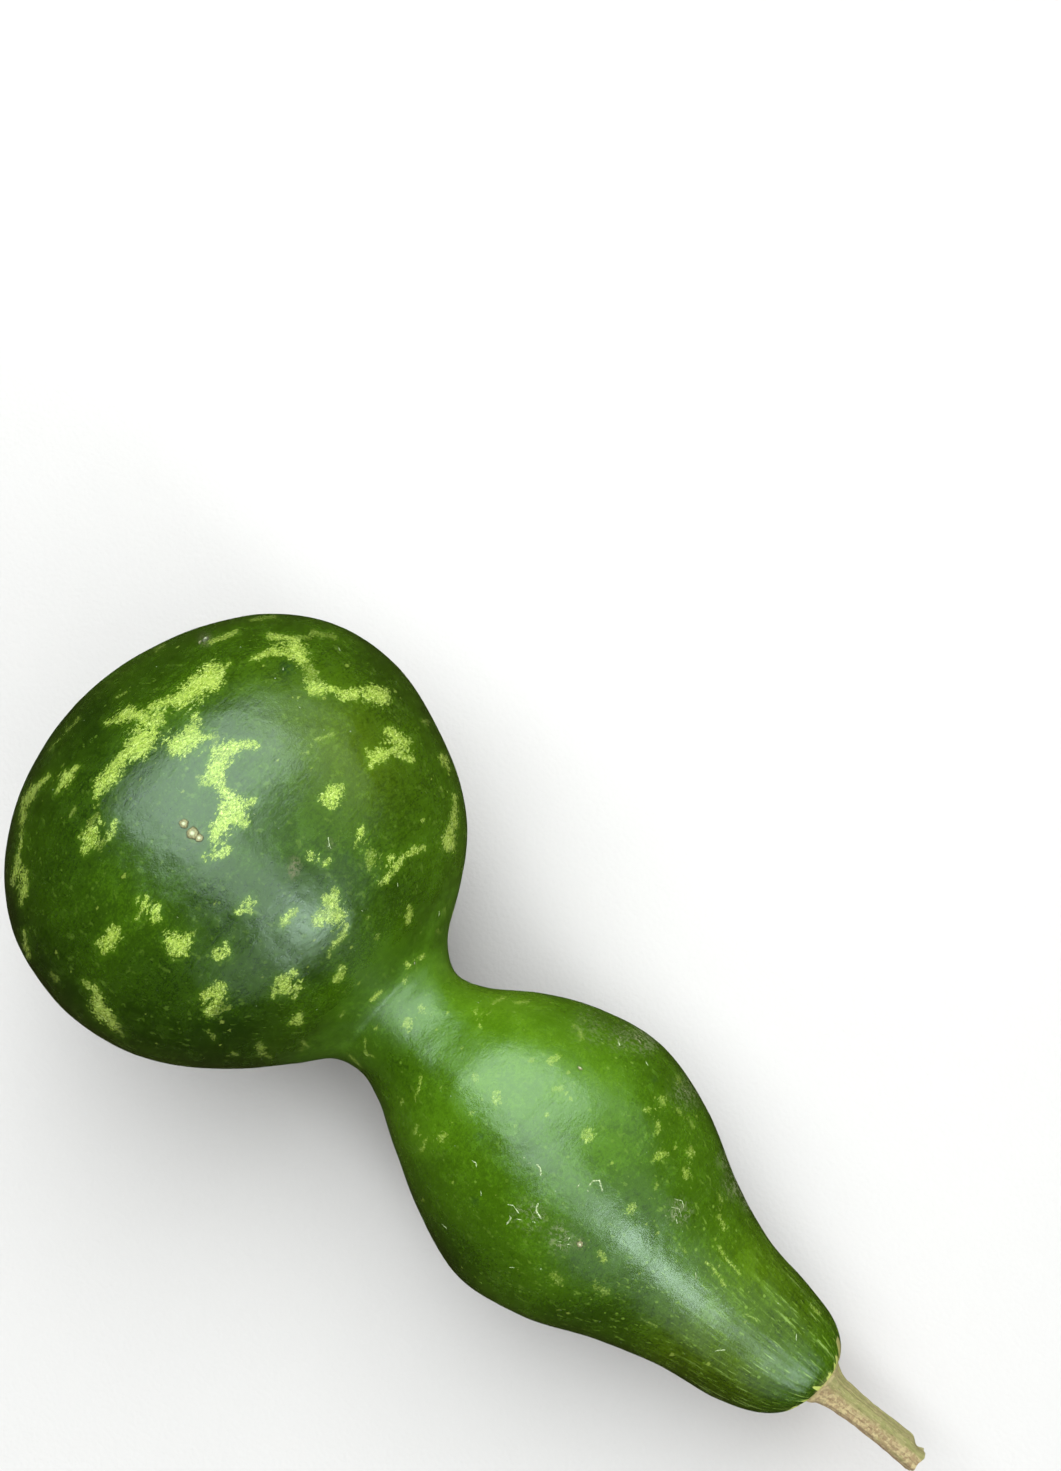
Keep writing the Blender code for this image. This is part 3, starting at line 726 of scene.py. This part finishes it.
    # -- the pale belly where it lay, the blossom scar, scuffs and dust
    belly = m.attribute("ground_spot").outputs["Fac"]
    belly = m.math("MULTIPLY", belly, m.ramp(m.noise(mm, 0.16, 5.0, 0.65), 0.35, 0.62, 0.35, 0.85))
    colour = m.mix(belly, colour, BELLY)
    pole = m.attribute("pole").outputs["Fac"]
    pole = m.math("ADD", pole, m.math("MULTIPLY", m.math("SUBTRACT", m.noise(mm, 0.9, 4.0, 0.65), 0.5), 4.0))
    colour = m.mix(m.ramp(pole, 4.0, 8.5, 0.55, 0.0), colour, PALE[1])
    scar = m.ramp(pole, 2.9, 3.7, 1.0, 0.0)
    colour = m.mix(scar, colour, m.mix(m.ramp(fine, 0.4, 0.6), (0.105, 0.072, 0.034), (0.25, 0.19, 0.10)))

    speck = m.noise(mm, 1.3, 5.0, 0.7)
    smudge = m.math("MULTIPLY", m.attribute("smudge").outputs["Fac"], m.ramp(speck, 0.36, 0.56))
    colour = m.mix(m.math("MULTIPLY", smudge, 0.75), colour, (0.012, 0.034, 0.012))
    brown = m.math("MULTIPLY", m.attribute("brown").outputs["Fac"], m.ramp(speck, 0.42, 0.60))
    colour = m.mix(m.math("MULTIPLY", brown, 0.8), colour, (0.190, 0.140, 0.090))
    scuff = m.attribute("scuff").outputs["Fac"]
    rub = m.math("MULTIPLY", scuff, m.ramp(m.noise(mm, 0.9, 6.0, 0.72), 0.46, 0.66))
    worm = m.math("ABSOLUTE", m.math("SUBTRACT", m.noise(mm, 0.55, 1.5, 0.5), 0.5))
    worm = m.math("MULTIPLY", m.ramp(worm, 0.0, 0.016, 1.0, 0.0), m.ramp(m.noise(mm, 0.5, 1.0), 0.5, 0.58))
    rub = m.math("MAXIMUM", m.math("MULTIPLY", rub, 0.7), m.math("MULTIPLY", worm, m.ramp(scuff, 0.15, 0.5, 0.0, 0.8)))
    colour = m.mix(rub, colour, SCUFF)
    far3, tint3 = m.cells(mm, 0.24)
    dr, dg, db = m.split(tint3)
    dust = m.math("MULTIPLY", m.ramp(far3, 0.018, 0.05, 1.0, 0.0), m.ramp(dg, 0.54, 0.56))
    colour = m.mix(m.math("MULTIPLY", dust, m.ramp(dr, 0.2, 1.0, 0.15, 0.85)), colour, DUST)

    # -- roughness and fine relief
    rough = m.ramp(mid, 0.3, 0.7, SKIN_ROUGH - 0.035, SKIN_ROUGH + 0.045)
    rough = m.math("ADD", rough, m.math("MULTIPLY", patch_amount, 0.05))
    rough = m.math("ADD", rough, m.math("MULTIPLY", m.attribute("dull").outputs["Fac"], 0.11))
    rough = m.math("ADD", rough, m.math("MULTIPLY", m.math("MAXIMUM", rub, scar), 0.25), clamp=True)
    height = m.math("MULTIPLY", m.math("SUBTRACT", m.noise(mm, 0.11, 2.0, 0.5), 0.5), 0.40)
    height = m.math("ADD", height, m.math("MULTIPLY", m.math("SUBTRACT", m.noise(across, 0.42, 3.0, 0.6), 0.5), 0.070))
    height = m.math("ADD", height, m.math("MULTIPLY", m.math("SUBTRACT", fine, 0.5), 0.060))
    height = m.math("ADD", height, m.math("MULTIPLY", m.math("SUBTRACT", grain, 0.5), 0.030))
    height = m.math("ADD", height, m.math("MULTIPLY", m.math("MULTIPLY", m.math("SUBTRACT", hair, 0.5), 0.055), hair_amount))
    height = m.math("ADD", height, m.math("MULTIPLY", m.math("MULTIPLY", m.math("SUBTRACT", streak, 0.5), 0.11), streak_amount))
    height = m.math("ADD", height, m.math("MULTIPLY", patch_amount, -0.012))
    height = m.math("ADD", height, m.math("MULTIPLY", m.math("MAXIMUM", dust, rub), 0.03))
    normal = m.bump(height, 1.0, MM)
    return m.finish(colour, rough, normal, IOR=1.61)


def dry_stem():
    m = Nodes("dry_stem")
    where = m.new("ShaderNodeTexCoord").outputs["Object"]
    mm = m.vec("SCALE", where, scale=1000.0)
    x, y, z = m.split(mm)
    polar = m.attribute("polar").outputs["Vector"]
    share, ca, sa = m.split(polar)
    fibre_at = m.join(m.math("MULTIPLY", share, 2.2), m.math("MULTIPLY", ca, 3.4), m.math("MULTIPLY", sa, 3.4))
    fibre = m.noise(fibre_at, 1.0, 6.0, 0.66)
    fine = m.noise(m.join(m.math("MULTIPLY", share, 7.0), m.math("MULTIPLY", ca, 11.0), m.math("MULTIPLY", sa, 11.0)), 1.0, 4.0, 0.6)
    blotch = m.noise(mm, 0.30, 4.0, 0.6)
    rib = m.attribute("rib").outputs["Fac"]
    # green above; brown below, on the -Y side and along the furrows. This is partly the stem's own colour and partly
    # painted shade: the brown is the colour of the stem's shaded side.
    side = m.math("ADD", m.math("MULTIPLY", ca, 0.80), m.math("MULTIPLY", sa, 0.18))
    brown = m.math("ADD", m.ramp(side, -0.15, 0.45, 0.90, 0.12), m.math("MULTIPLY", m.math("SUBTRACT", fibre, 0.5), 1.5))
    brown = m.math("ADD", brown, m.math("MULTIPLY", m.math("SUBTRACT", blotch, 0.5), 1.1))
    brown = m.math("ADD", brown, m.math("MULTIPLY", rib, -0.25))
    colour = m.mix(m.ramp(brown, 0.15, 0.85), STEM_TINTS_WITH_PAINTED_SHADE[0], STEM_TINTS_WITH_PAINTED_SHADE[1])
    block_tint = m.cells(m.join(m.math("MULTIPLY", x, 1.2), y, z), 1.25)[1]
    block = m.math("ADD", m.math("MULTIPLY", m.split(block_tint)[0], 0.6), m.math("MULTIPLY", m.noise(mm, 1.3, 4.0, 0.65), 0.6))
    block = m.math("MULTIPLY", m.ramp(block, 0.50, 0.86), m.ramp(brown, 0.3, 0.75, 0.20, 0.75))
    colour = m.mix(block, colour, STEM_TINTS_WITH_PAINTED_SHADE[2])
    colour = m.mix(m.ramp(fine, 0.52, 0.74, 0.0, 0.60), colour, STEM_TINTS_WITH_PAINTED_SHADE[2])
    colour = m.mix(m.ramp(fine, 0.47, 0.28, 0.0, 0.6), colour, STEM_TINTS_WITH_PAINTED_SHADE[3])
    foot = m.ramp(m.math("ADD", share, m.math("MULTIPLY", m.math("SUBTRACT", fibre, 0.5), 0.12)), 0.0, 0.07, 1.0, 0.0)
    colour = m.mix(m.math("MULTIPLY", foot, 0.55), colour, STEM_TINTS_WITH_PAINTED_SHADE[2])
    cut = m.attribute("cut").outputs["Fac"]
    ring = m.math("ABSOLUTE", m.math("SUBTRACT", m.attribute("cut_radius").outputs["Fac"], 0.72))
    face = m.mix(m.ramp(ring, 0.05, 0.16), STEM_TINTS_WITH_PAINTED_SHADE[4], STEM_TINTS_WITH_PAINTED_SHADE[5])
    face = m.mix(m.ramp(m.noise(mm, 2.2, 4.0, 0.65), 0.4, 0.65, 0.0, 0.7), face, STEM_TINTS_WITH_PAINTED_SHADE[3])
    colour = m.mix(cut, colour, face)
    rough = m.ramp(fine, 0.3, 0.7, 0.72, 0.92)
    height = m.math("ADD", m.math("MULTIPLY", m.math("SUBTRACT", fibre, 0.5), 0.42), m.math("MULTIPLY", m.math("SUBTRACT", fine, 0.5), 0.20))
    height = m.math("ADD", height, m.math("MULTIPLY", m.math("SUBTRACT", m.noise(mm, 3.4, 3.0, 0.6), 0.5), 0.10))
    return m.finish(colour, rough, m.bump(height, 1.0, MM), IOR=1.45)


def cork():
    m = Nodes("cork")
    mm = m.vec("SCALE", m.new("ShaderNodeTexCoord").outputs["Object"], scale=1000.0)
    lump = m.attribute("lump").outputs["Fac"]
    kind = m.attribute("kind").outputs["Fac"]
    crumb = m.noise(mm, 2.4, 5.0, 0.68)
    pink = m.mix(m.ramp(crumb, 0.35, 0.65), (0.24, 0.165, 0.085), (0.46, 0.36, 0.22))
    grey = m.mix(m.ramp(crumb, 0.38, 0.66), (0.075, 0.058, 0.035), (0.26, 0.235, 0.185))
    colour = m.mix(kind, pink, grey)
    colour = m.mix(m.ramp(lump, 0.50, 0.90, 0.0, 0.85), colour, (0.80, 0.74, 0.55))
    colour = m.mix(m.ramp(lump, 0.32, 0.0, 0.0, 0.75), colour, (0.040, 0.050, 0.012))
    height = m.math("MULTIPLY", m.math("SUBTRACT", crumb, 0.5), 0.35)
    return m.finish(colour, m.ramp(crumb, 0.3, 0.7, 0.55, 0.85), m.bump(height, 1.0, MM), IOR=1.45)


def dry_scratch():
    m = Nodes("dry_scratch")
    mm = m.vec("SCALE", m.new("ShaderNodeTexCoord").outputs["Object"], scale=1000.0)
    colour = m.mix(m.ramp(m.noise(mm, 2.5, 3.0, 0.6), 0.38, 0.62), (0.230, 0.240, 0.115), (0.640, 0.600, 0.400))
    height = m.math("MULTIPLY", m.math("SUBTRACT", m.noise(mm, 5.0, 3.0, 0.6), 0.5), 0.10)
    return m.finish(colour, m.ramp(m.noise(mm, 1.1, 2.0), 0.3, 0.7, 0.5, 0.75), m.bump(height, 1.0, MM), IOR=1.45)


# Colours, linear.
GREENS = [
    (0.0120, 0.0280, 0.0004), (0.0260, 0.0530, 0.0007), (0.0460, 0.0920, 0.0010), (0.0730, 0.1440, 0.0020),
    (0.1050, 0.1920, 0.0040),
]
PALE = [(0.520, 0.530, 0.100), (0.740, 0.730, 0.250), (0.330, 0.390, 0.045)]
FLECK = (0.200, 0.270, 0.035)
LINE = (0.340, 0.400, 0.110)
RING = (0.700, 0.640, 0.170)
BELLY = (0.360, 0.330, 0.105)
SCUFF = (0.400, 0.320, 0.220)
DUST = (0.620, 0.600, 0.480)
# the second stem tint, the brown, is the colour of the stem's shaded side: painted shade
STEM_TINTS_WITH_PAINTED_SHADE = [(0.300, 0.225, 0.095), (0.350, 0.190, 0.115), (0.600, 0.390, 0.235), (0.175, 0.095, 0.055), (0.470, 0.310, 0.160), (0.660, 0.460, 0.260)]
SKIN_ROUGH = 0.24


# ---- The pieces -------------------------------------------------------------------------------------------------
def add(name, mesh, made):
    mesh.materials.append(made)
    piece = bpy.data.objects.new(name, mesh)
    bpy.context.scene.collection.objects.link(piece)
    return piece


skin_mesh, skin_points, skin_normals, skin_seen, skin_t, skin_k = build_fruit()
fruit = add("gourd_skin_piece", skin_mesh, gourd_skin())
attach(fruit, "root")
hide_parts("gourd_fruit")


def build_stem():
    rings, sides = 150, 132
    share = np.concatenate([[-0.05, -0.035, -0.02], np.linspace(-0.008, 1.0, rings - 3)])
    angle = np.arange(sides) * 2 * math.pi / sides
    U, A = np.meshgrid(share, angle, indexing="ij")
    base = np.array([along(STEM, u) for u in share])
    radius, side, lift = (base[:, c][:, None] + 0 * A for c in range(3))
    ribs = 0.075 * np.cos(5 * A + 0.5 + 0.5 * U) + 0.030 * np.cos(10 * A + 1.2) + 0.022 * np.cos(19 * A + 0.4 + 1.5 * U)
    ribs *= 1 - 0.35 * smooth(0.1, 0.0, U)
    foot = smooth(0.105, -0.01, U)
    lobes = 0.5 + 0.5 * np.cos(5 * A + 0.5) + 0.25 * np.cos(11 * A + 1.0)
    r = radius * (1 + ribs) + foot * (0.35 + 0.75 * lobes) * (1 - 0.25 * smooth(0.0, -0.05, U))
    r *= 1 - (0.36 * smooth(0.86, 0.95, U) - 0.14 * smooth(0.95, 1.0, U)) * np.maximum(np.cos(A), 0.0)
    own = np.stack([LENGTH + 0.3 + U * STEM_LENGTH + 0 * A, side + r * np.cos(A), lift + r * np.sin(A)], -1)
    # the cut: slanted, a little torn on one side, and the last millimetres flare slightly
    r_end = smooth(0.90, 1.0, U)
    tear = 0.10 * np.cos(A) + 0.14 * np.cos(3 * A + 0.8) + 0.12 * np.cos(7 * A) - 0.70
    own[..., 0] -= tear * r_end
    n = normals_of(own)
    own += n * (0.13 * perlin(own * np.array([0.55, 1, 1]), 1.0, 4.0) + 0.14 * perlin(own, 2.6, 1.0))[..., None]
    # the cut face: rings inward, sunk and rough
    inner = []
    rim = own[-1]
    centre = rim.mean(0)
    for share_in in (0.93, 0.82, 0.66, 0.48, 0.30, 0.14):
        row = centre + (rim - centre) * share_in
        row[:, 0] += -0.35 * (1 - share_in) + 0.22 * perlin(row, 0.9, 6.0) - 0.35 * (1 if share_in < 0.4 else 0)
        inner.append(row)
    all_rows = np.concatenate([own, np.array(inner)])
    points = place(all_rows)
    tip = place(np.array([centre + np.array([-0.75, 0, 0])]))[0]
    root = place(np.array([own[0].mean(0)]))[0]
    total = len(all_rows)
    verts = np.concatenate([points.reshape(-1, 3), [tip], [root]]) * MM
    faces = []
    for a in range(total - 1):
        for b in range(sides):
            c = (b + 1) % sides
            faces.append((a * sides + b, a * sides + c, (a + 1) * sides + c, (a + 1) * sides + b))
    count = total * sides
    for b in range(sides):
        c = (b + 1) % sides
        faces.append((count, (total - 1) * sides + b, (total - 1) * sides + c))
        faces.append((count + 1, c, b))
    mesh = bpy.data.meshes.new("stem")
    mesh.from_pydata(verts.tolist(), [], faces)
    bm = bmesh.new()
    bm.from_mesh(mesh)
    bmesh.ops.recalc_face_normals(bm, faces=bm.faces)
    bm.to_mesh(mesh)
    bm.free()
    mesh.shade_smooth()
    mesh.set_sharp_from_angle(angle=math.radians(50))
    extra = len(inner)
    AA = np.concatenate([A, np.repeat(A[-1:], extra, axis=0)])
    UU = np.concatenate([U, np.ones((extra, sides))])
    polar = np.stack([UU * 3.0, np.cos(AA), np.sin(AA)], -1).reshape(-1, 3)
    layer = mesh.attributes.new("polar", "FLOAT_VECTOR", "POINT")
    layer.data.foreach_set("vector", np.concatenate([polar, [[3.0, 0, 0], [0, 0, 0]]]).astype(np.float32).ravel())
    rib = np.concatenate([ribs, np.zeros((extra, sides))]).reshape(-1) / 0.12
    cut = np.concatenate([np.zeros((len(own), sides)), np.ones((extra, sides))]).reshape(-1)
    wide = np.concatenate([np.ones((len(own), sides)), np.repeat(np.array([0.93, 0.82, 0.66, 0.48, 0.30, 0.14])[:, None], sides, axis=1)]).reshape(-1)
    for name, values, last in (("rib", rib, (0, 0)), ("cut", cut, (1, 0)), ("cut_radius", wide, (0, 1))):
        layer = mesh.attributes.new(name, "FLOAT", "POINT")
        layer.data.foreach_set("value", np.concatenate([values, last]).astype(np.float32))
    return mesh


stem = add("cut_stem", build_stem(), dry_stem())
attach(stem, "root")
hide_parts("fruit_stem")


# ---- Small corky spots and dry scratches, raised from the skin --------------------------------------------------
flat_points = skin_points.reshape(-1, 3)
flat_normals = skin_normals.reshape(-1, 3)
flat_t, flat_k, flat_seen = skin_t.ravel(), skin_k.ravel(), skin_seen.ravel()


def on_skin(t, k):
    """The point of the skin in millimetres at (t, k), its normal, and the directions of +t and +k along it."""
    far = (flat_t - t) ** 2 + (flat_k - k) ** 2 + 1e6 * (flat_seen < 0.02)
    at = np.argsort(far)[:6]
    design = np.stack([np.ones(6), flat_t[at] - t, flat_k[at] - k], -1)
    fit, *_ = np.linalg.lstsq(design, flat_points[at], rcond=None)
    n = flat_normals[at].mean(0)
    return fit[0], n / np.linalg.norm(n), fit[1], fit[2]


def closed(rows, bottom, top):
    """A closed shell from rings of points, a point under the first ring and a point over the last."""
    verts = [p for row in rows for p in row] + [bottom, top]
    sides = len(rows[0])
    faces = []
    for a in range(len(rows) - 1):
        for b in range(sides):
            c = (b + 1) % sides
            faces.append((a * sides + b, a * sides + c, (a + 1) * sides + c, (a + 1) * sides + b))
    for b in range(sides):
        c = (b + 1) % sides
        faces.append((len(verts) - 2, c, b))
        faces.append((len(verts) - 1, (len(rows) - 1) * sides + b, (len(rows) - 1) * sides + c))
    return verts, faces


# (t, k, half length, half width, turn in degrees, height in mm, how grey)
SPOTS = [
    (-52, -19, 4.6, 4.4, 0, 0.55, 0.0), (-39, -20, 5.8, 6.0, 10, 0.70, 0.0), (-31, -19, 3.8, 4.0, 0, 0.50, 0.0),
    (524, -59, 3.4, 3.4, 0, 0.35, 0.0), (405, 70, 2.8, 1.6, 10, 0.22, 0.1), (-161, 131, 7.0, 3.4, 60, 0.4, 0.9),
    (-163, 125, 3.5, 1.8, 70, 0.3, 0.3), (430, 130, 3.2, 1.4, -10, 0.15, 0.5), (212, 35, 2.4, 0.8, -30, 0.12, 0.5),
]


def build_spots():
    rng = random.Random(4)
    verts, faces, lump, kind = [], [], [], []
    for t, k, half_t, half_k, turn, height, grey in SPOTS:
        p, n, et, ek = on_skin(t, k)
        et, ek = et - n * (et @ n), ek - n * (ek @ n)
        et, ek = et / np.linalg.norm(et) * UNIT, ek / np.linalg.norm(ek) * UNIT
        c, s = math.cos(math.radians(turn)), math.sin(math.radians(turn))
        a, b = (et * c + ek * s) * half_t, (ek * c - et * s) * half_k
        sides = 40
        phase = [rng.uniform(0, 6.28) for _ in range(4)]
        rows, marks = [], []
        for share, tall in ((1.0, -0.22), (1.0, 0.0), (0.93, 0.42), (0.80, 0.74), (0.62, 0.93), (0.45, 1.0), (0.30, 0.97), (0.15, 0.86)):
            row = []
            for i in range(sides):
                w = 2 * math.pi * i / sides
                wave = 1 + 0.05 * math.cos(3 * w + phase[0]) + 0.04 * math.cos(5 * w + phase[1]) + 0.03 * math.cos(9 * w + phase[2])
                q = p + (a * math.cos(w) + b * math.sin(w)) * share * wave
                lumpy = 0.16 * noise.noise(Vector(q) * 1.9) if tall > 0 else 0.0
                row.append(q + n * height * (tall + lumpy * (1 if share < 0.99 else 0)))
                marks.append(max(0.0, 1 - share) if tall > 0.3 else 0.0)
            rows.append(row)
        v, f = closed(rows, p - n * 0.3 * height, p + n * height * 0.80)
        faces += [tuple(i + len(verts) for i in face) for face in f]
        verts += v
        lump += marks + [0.0, 1.0]
        kind += [grey] * len(v)
    mesh = bpy.data.meshes.new("spots")
    mesh.from_pydata([tuple(v * MM) for v in verts], [], faces)
    tidy(mesh)
    for name, values in (("lump", lump), ("kind", kind)):
        mesh.attributes.new(name, "FLOAT", "POINT").data.foreach_set("value", np.array(values, dtype=np.float32))
    return mesh


def tidy(mesh):
    bm = bmesh.new()
    bm.from_mesh(mesh)
    bmesh.ops.recalc_face_normals(bm, faces=bm.faces)
    bm.to_mesh(mesh)
    bm.free()
    mesh.shade_smooth()


def build_scratches():
    rng = random.Random(8)
    verts, faces = [], []
    for half, stroke in SCRATCHES:
        steps = []
        for (t0, k0), (t1, k1) in zip(stroke, stroke[1:]):
            parts = max(2, int(math.hypot(t1 - t0, k1 - k0) / 0.9))
            steps += [(t0 + (t1 - t0) * i / parts, k0 + (k1 - k0) * i / parts) for i in range(parts)]
        steps.append(stroke[-1])
        rows = []
        for i, (t, k) in enumerate(steps):
            p, n, et, ek = on_skin(t + rng.uniform(-0.25, 0.25), k + rng.uniform(-0.25, 0.25))
            t2, k2 = steps[min(i + 1, len(steps) - 1)]
            t1, k1 = steps[max(i - 1, 0)]
            way = et * (t2 - t1) + ek * (k2 - k1)
            way -= n * (way @ n)
            way /= np.linalg.norm(way)
            cross = np.cross(n, way)
            ends = min(1.0, 0.35 + min(i, len(steps) - 1 - i) * 0.5)
            w = half * UNIT * ends * rng.uniform(0.55, 1.25)
            row = []
            for j in range(8):
                g = 2 * math.pi * j / 8
                row.append(p + cross * w * math.cos(g) + n * (0.10 * math.sin(g) * ends + 0.015))
            rows.append(row)
        v, f = closed(rows, sum(rows[0]) / 8, sum(rows[-1]) / 8)
        faces += [tuple(i + len(verts) for i in face) for face in f]
        verts += v
    mesh = bpy.data.meshes.new("scratches")
    mesh.from_pydata([tuple(v * MM) for v in verts], [], faces)
    tidy(mesh)
    return mesh


spots = add("corky_spots", build_spots(), cork())
scratches = add("dry_scratches", build_scratches(), dry_scratch())
for piece in (spots, scratches):
    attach(piece, "root")

# ---- Stage, light and camera ------------------------------------------------------------------------------------
floor_mesh = bpy.data.meshes.new("floor")
rim = [(1.6 * math.cos(2 * math.pi * i / 96), 1.6 * math.sin(2 * math.pi * i / 96), -0.0002) for i in range(96)]
floor_mesh.from_pydata(rim, [], [tuple(range(96))])
paper = Nodes("pale_floor")
paper_mm = paper.vec("SCALE", paper.new("ShaderNodeTexCoord").outputs["Object"], scale=1000.0)
paper_tone = paper.mix(paper.noise(paper_mm, 0.02, 3.0, 0.5), (0.690, 0.515, 0.592), (0.710, 0.530, 0.609))
floor = add("floor", floor_mesh, paper.finish(paper_tone, 0.9, paper.bump(paper.noise(paper_mm, 0.8, 3.0), 0.15, MM)))
floor.visible_glossy = False


def panel(name, centre, across_x, across_y, facing, radiance, tint):
    """A rectangular light with its middle at centre, in metres, facing along facing."""
    data = bpy.data.lights.new(name, "AREA")
    data.shape = "RECTANGLE"
    data.size, data.size_y = across_x, across_y
    data.energy = radiance * math.pi * across_x * across_y
    data.color = tint
    lamp = bpy.data.objects.new(name, data)
    bpy.context.scene.collection.objects.link(lamp)
    lamp.location = centre
    lamp.rotation_euler = (-Vector(facing)).to_track_quat("Z", "Y").to_euler()
    lamp.visible_camera = False
    return lamp


def ceiling(name, x0, x1, y0, y1, radiance, tint):
    """A flat light 1.1 m over the floor, between x0 and x1 and between y0 and y1."""
    panel(name, ((x0 + x1) / 2, (y0 + y1) / 2, 1.1), x1 - x0, y1 - y0, (0, 0, -1), radiance, tint)


COOL = (0.745, 1.0, 0.865)
ceiling("key", -1.12, 0.06, -0.48, 1.35, 4.7, COOL)
ceiling("key_edge", -1.60, -1.12, -0.48, 1.35, 2.2, COOL)
ceiling("strip", 0.06, 1.10, -0.48, 0.08, 3.2, COOL)
ceiling("strip_end", 1.10, 1.60, -0.48, 0.08, 1.7, COOL)
ceiling("fill_right", 0.06, 1.60, 0.08, 1.35, 0.50, COOL)
ceiling("fill_far", -1.60, 1.60, 1.35, 3.60, 1.0, COOL)
panel("stem_side", (2.15, -0.27, 1.05), 0.60, 1.10, (-2.15, 0.27, -0.98), 9.5, COOL)
panel("stem_side_low", (2.25, -0.25, 0.30), 0.60, 0.40, (-2.25, 0.25, -0.22), 4.5, COOL)
panel("stem_side_far", (2.1, 0.70, 1.02), 1.05, 1.05, (-2.1, -0.7, -0.95), 0.8, COOL)
panel("stem_side_near", (1.75, -1.25, 0.80), 1.2, 1.2, (-1.75, 1.25, -0.75), 0.9, COOL)

world = bpy.data.worlds.new("studio")
bpy.context.scene.world = world
world.use_nodes = True
wt = world.node_tree
background = wt.nodes["Background"]
path = wt.nodes.new("ShaderNodeLightPath")
direction = wt.nodes.new("ShaderNodeTexCoord")
parts = wt.nodes.new("ShaderNodeSeparateXYZ")
wt.links.new(direction.outputs["Generated"], parts.inputs[0])
height = wt.nodes.new("ShaderNodeMapRange")
height.inputs["From Min"].default_value, height.inputs["From Max"].default_value = -0.15, 0.25
wt.links.new(parts.outputs[2], height.inputs["Value"])
sky = wt.nodes.new("ShaderNodeMix")
sky.data_type = "RGBA"
wt.links.new(height.outputs[0], sky.inputs["Factor"])
sky.inputs[6].default_value = (0.030, 0.024, 0.010, 1)
sky.inputs[7].default_value = (0.036, 0.042, 0.030, 1)
seen_sky = wt.nodes.new("ShaderNodeMix")
seen_sky.data_type = "RGBA"
wt.links.new(path.outputs["Is Camera Ray"], seen_sky.inputs["Factor"])
wt.links.new(sky.outputs[2], seen_sky.inputs[6])
seen_sky.inputs[7].default_value = (0.86, 0.86, 0.85, 1)
wt.links.new(seen_sky.outputs[2], background.inputs["Color"])
background.inputs["Strength"].default_value = 1.0

camera_data = bpy.data.cameras.new("camera")
camera_data.sensor_width = 36.0
camera_data.lens = FOCAL * 36.0 / PICTURE[1]
camera_data.clip_start, camera_data.clip_end = 0.01, 50.0
camera = bpy.data.objects.new("camera", camera_data)
bpy.context.scene.collection.objects.link(camera)
camera.location = eye
camera.rotation_euler = back.to_track_quat("Z", "Y").to_euler()
bpy.context.scene.camera = camera
bpy.context.scene.view_settings.view_transform = "Standard"
bpy.context.scene.view_settings.look = "None"
bpy.context.scene.view_settings.exposure = 0.0

bpy.context.view_layer.update()
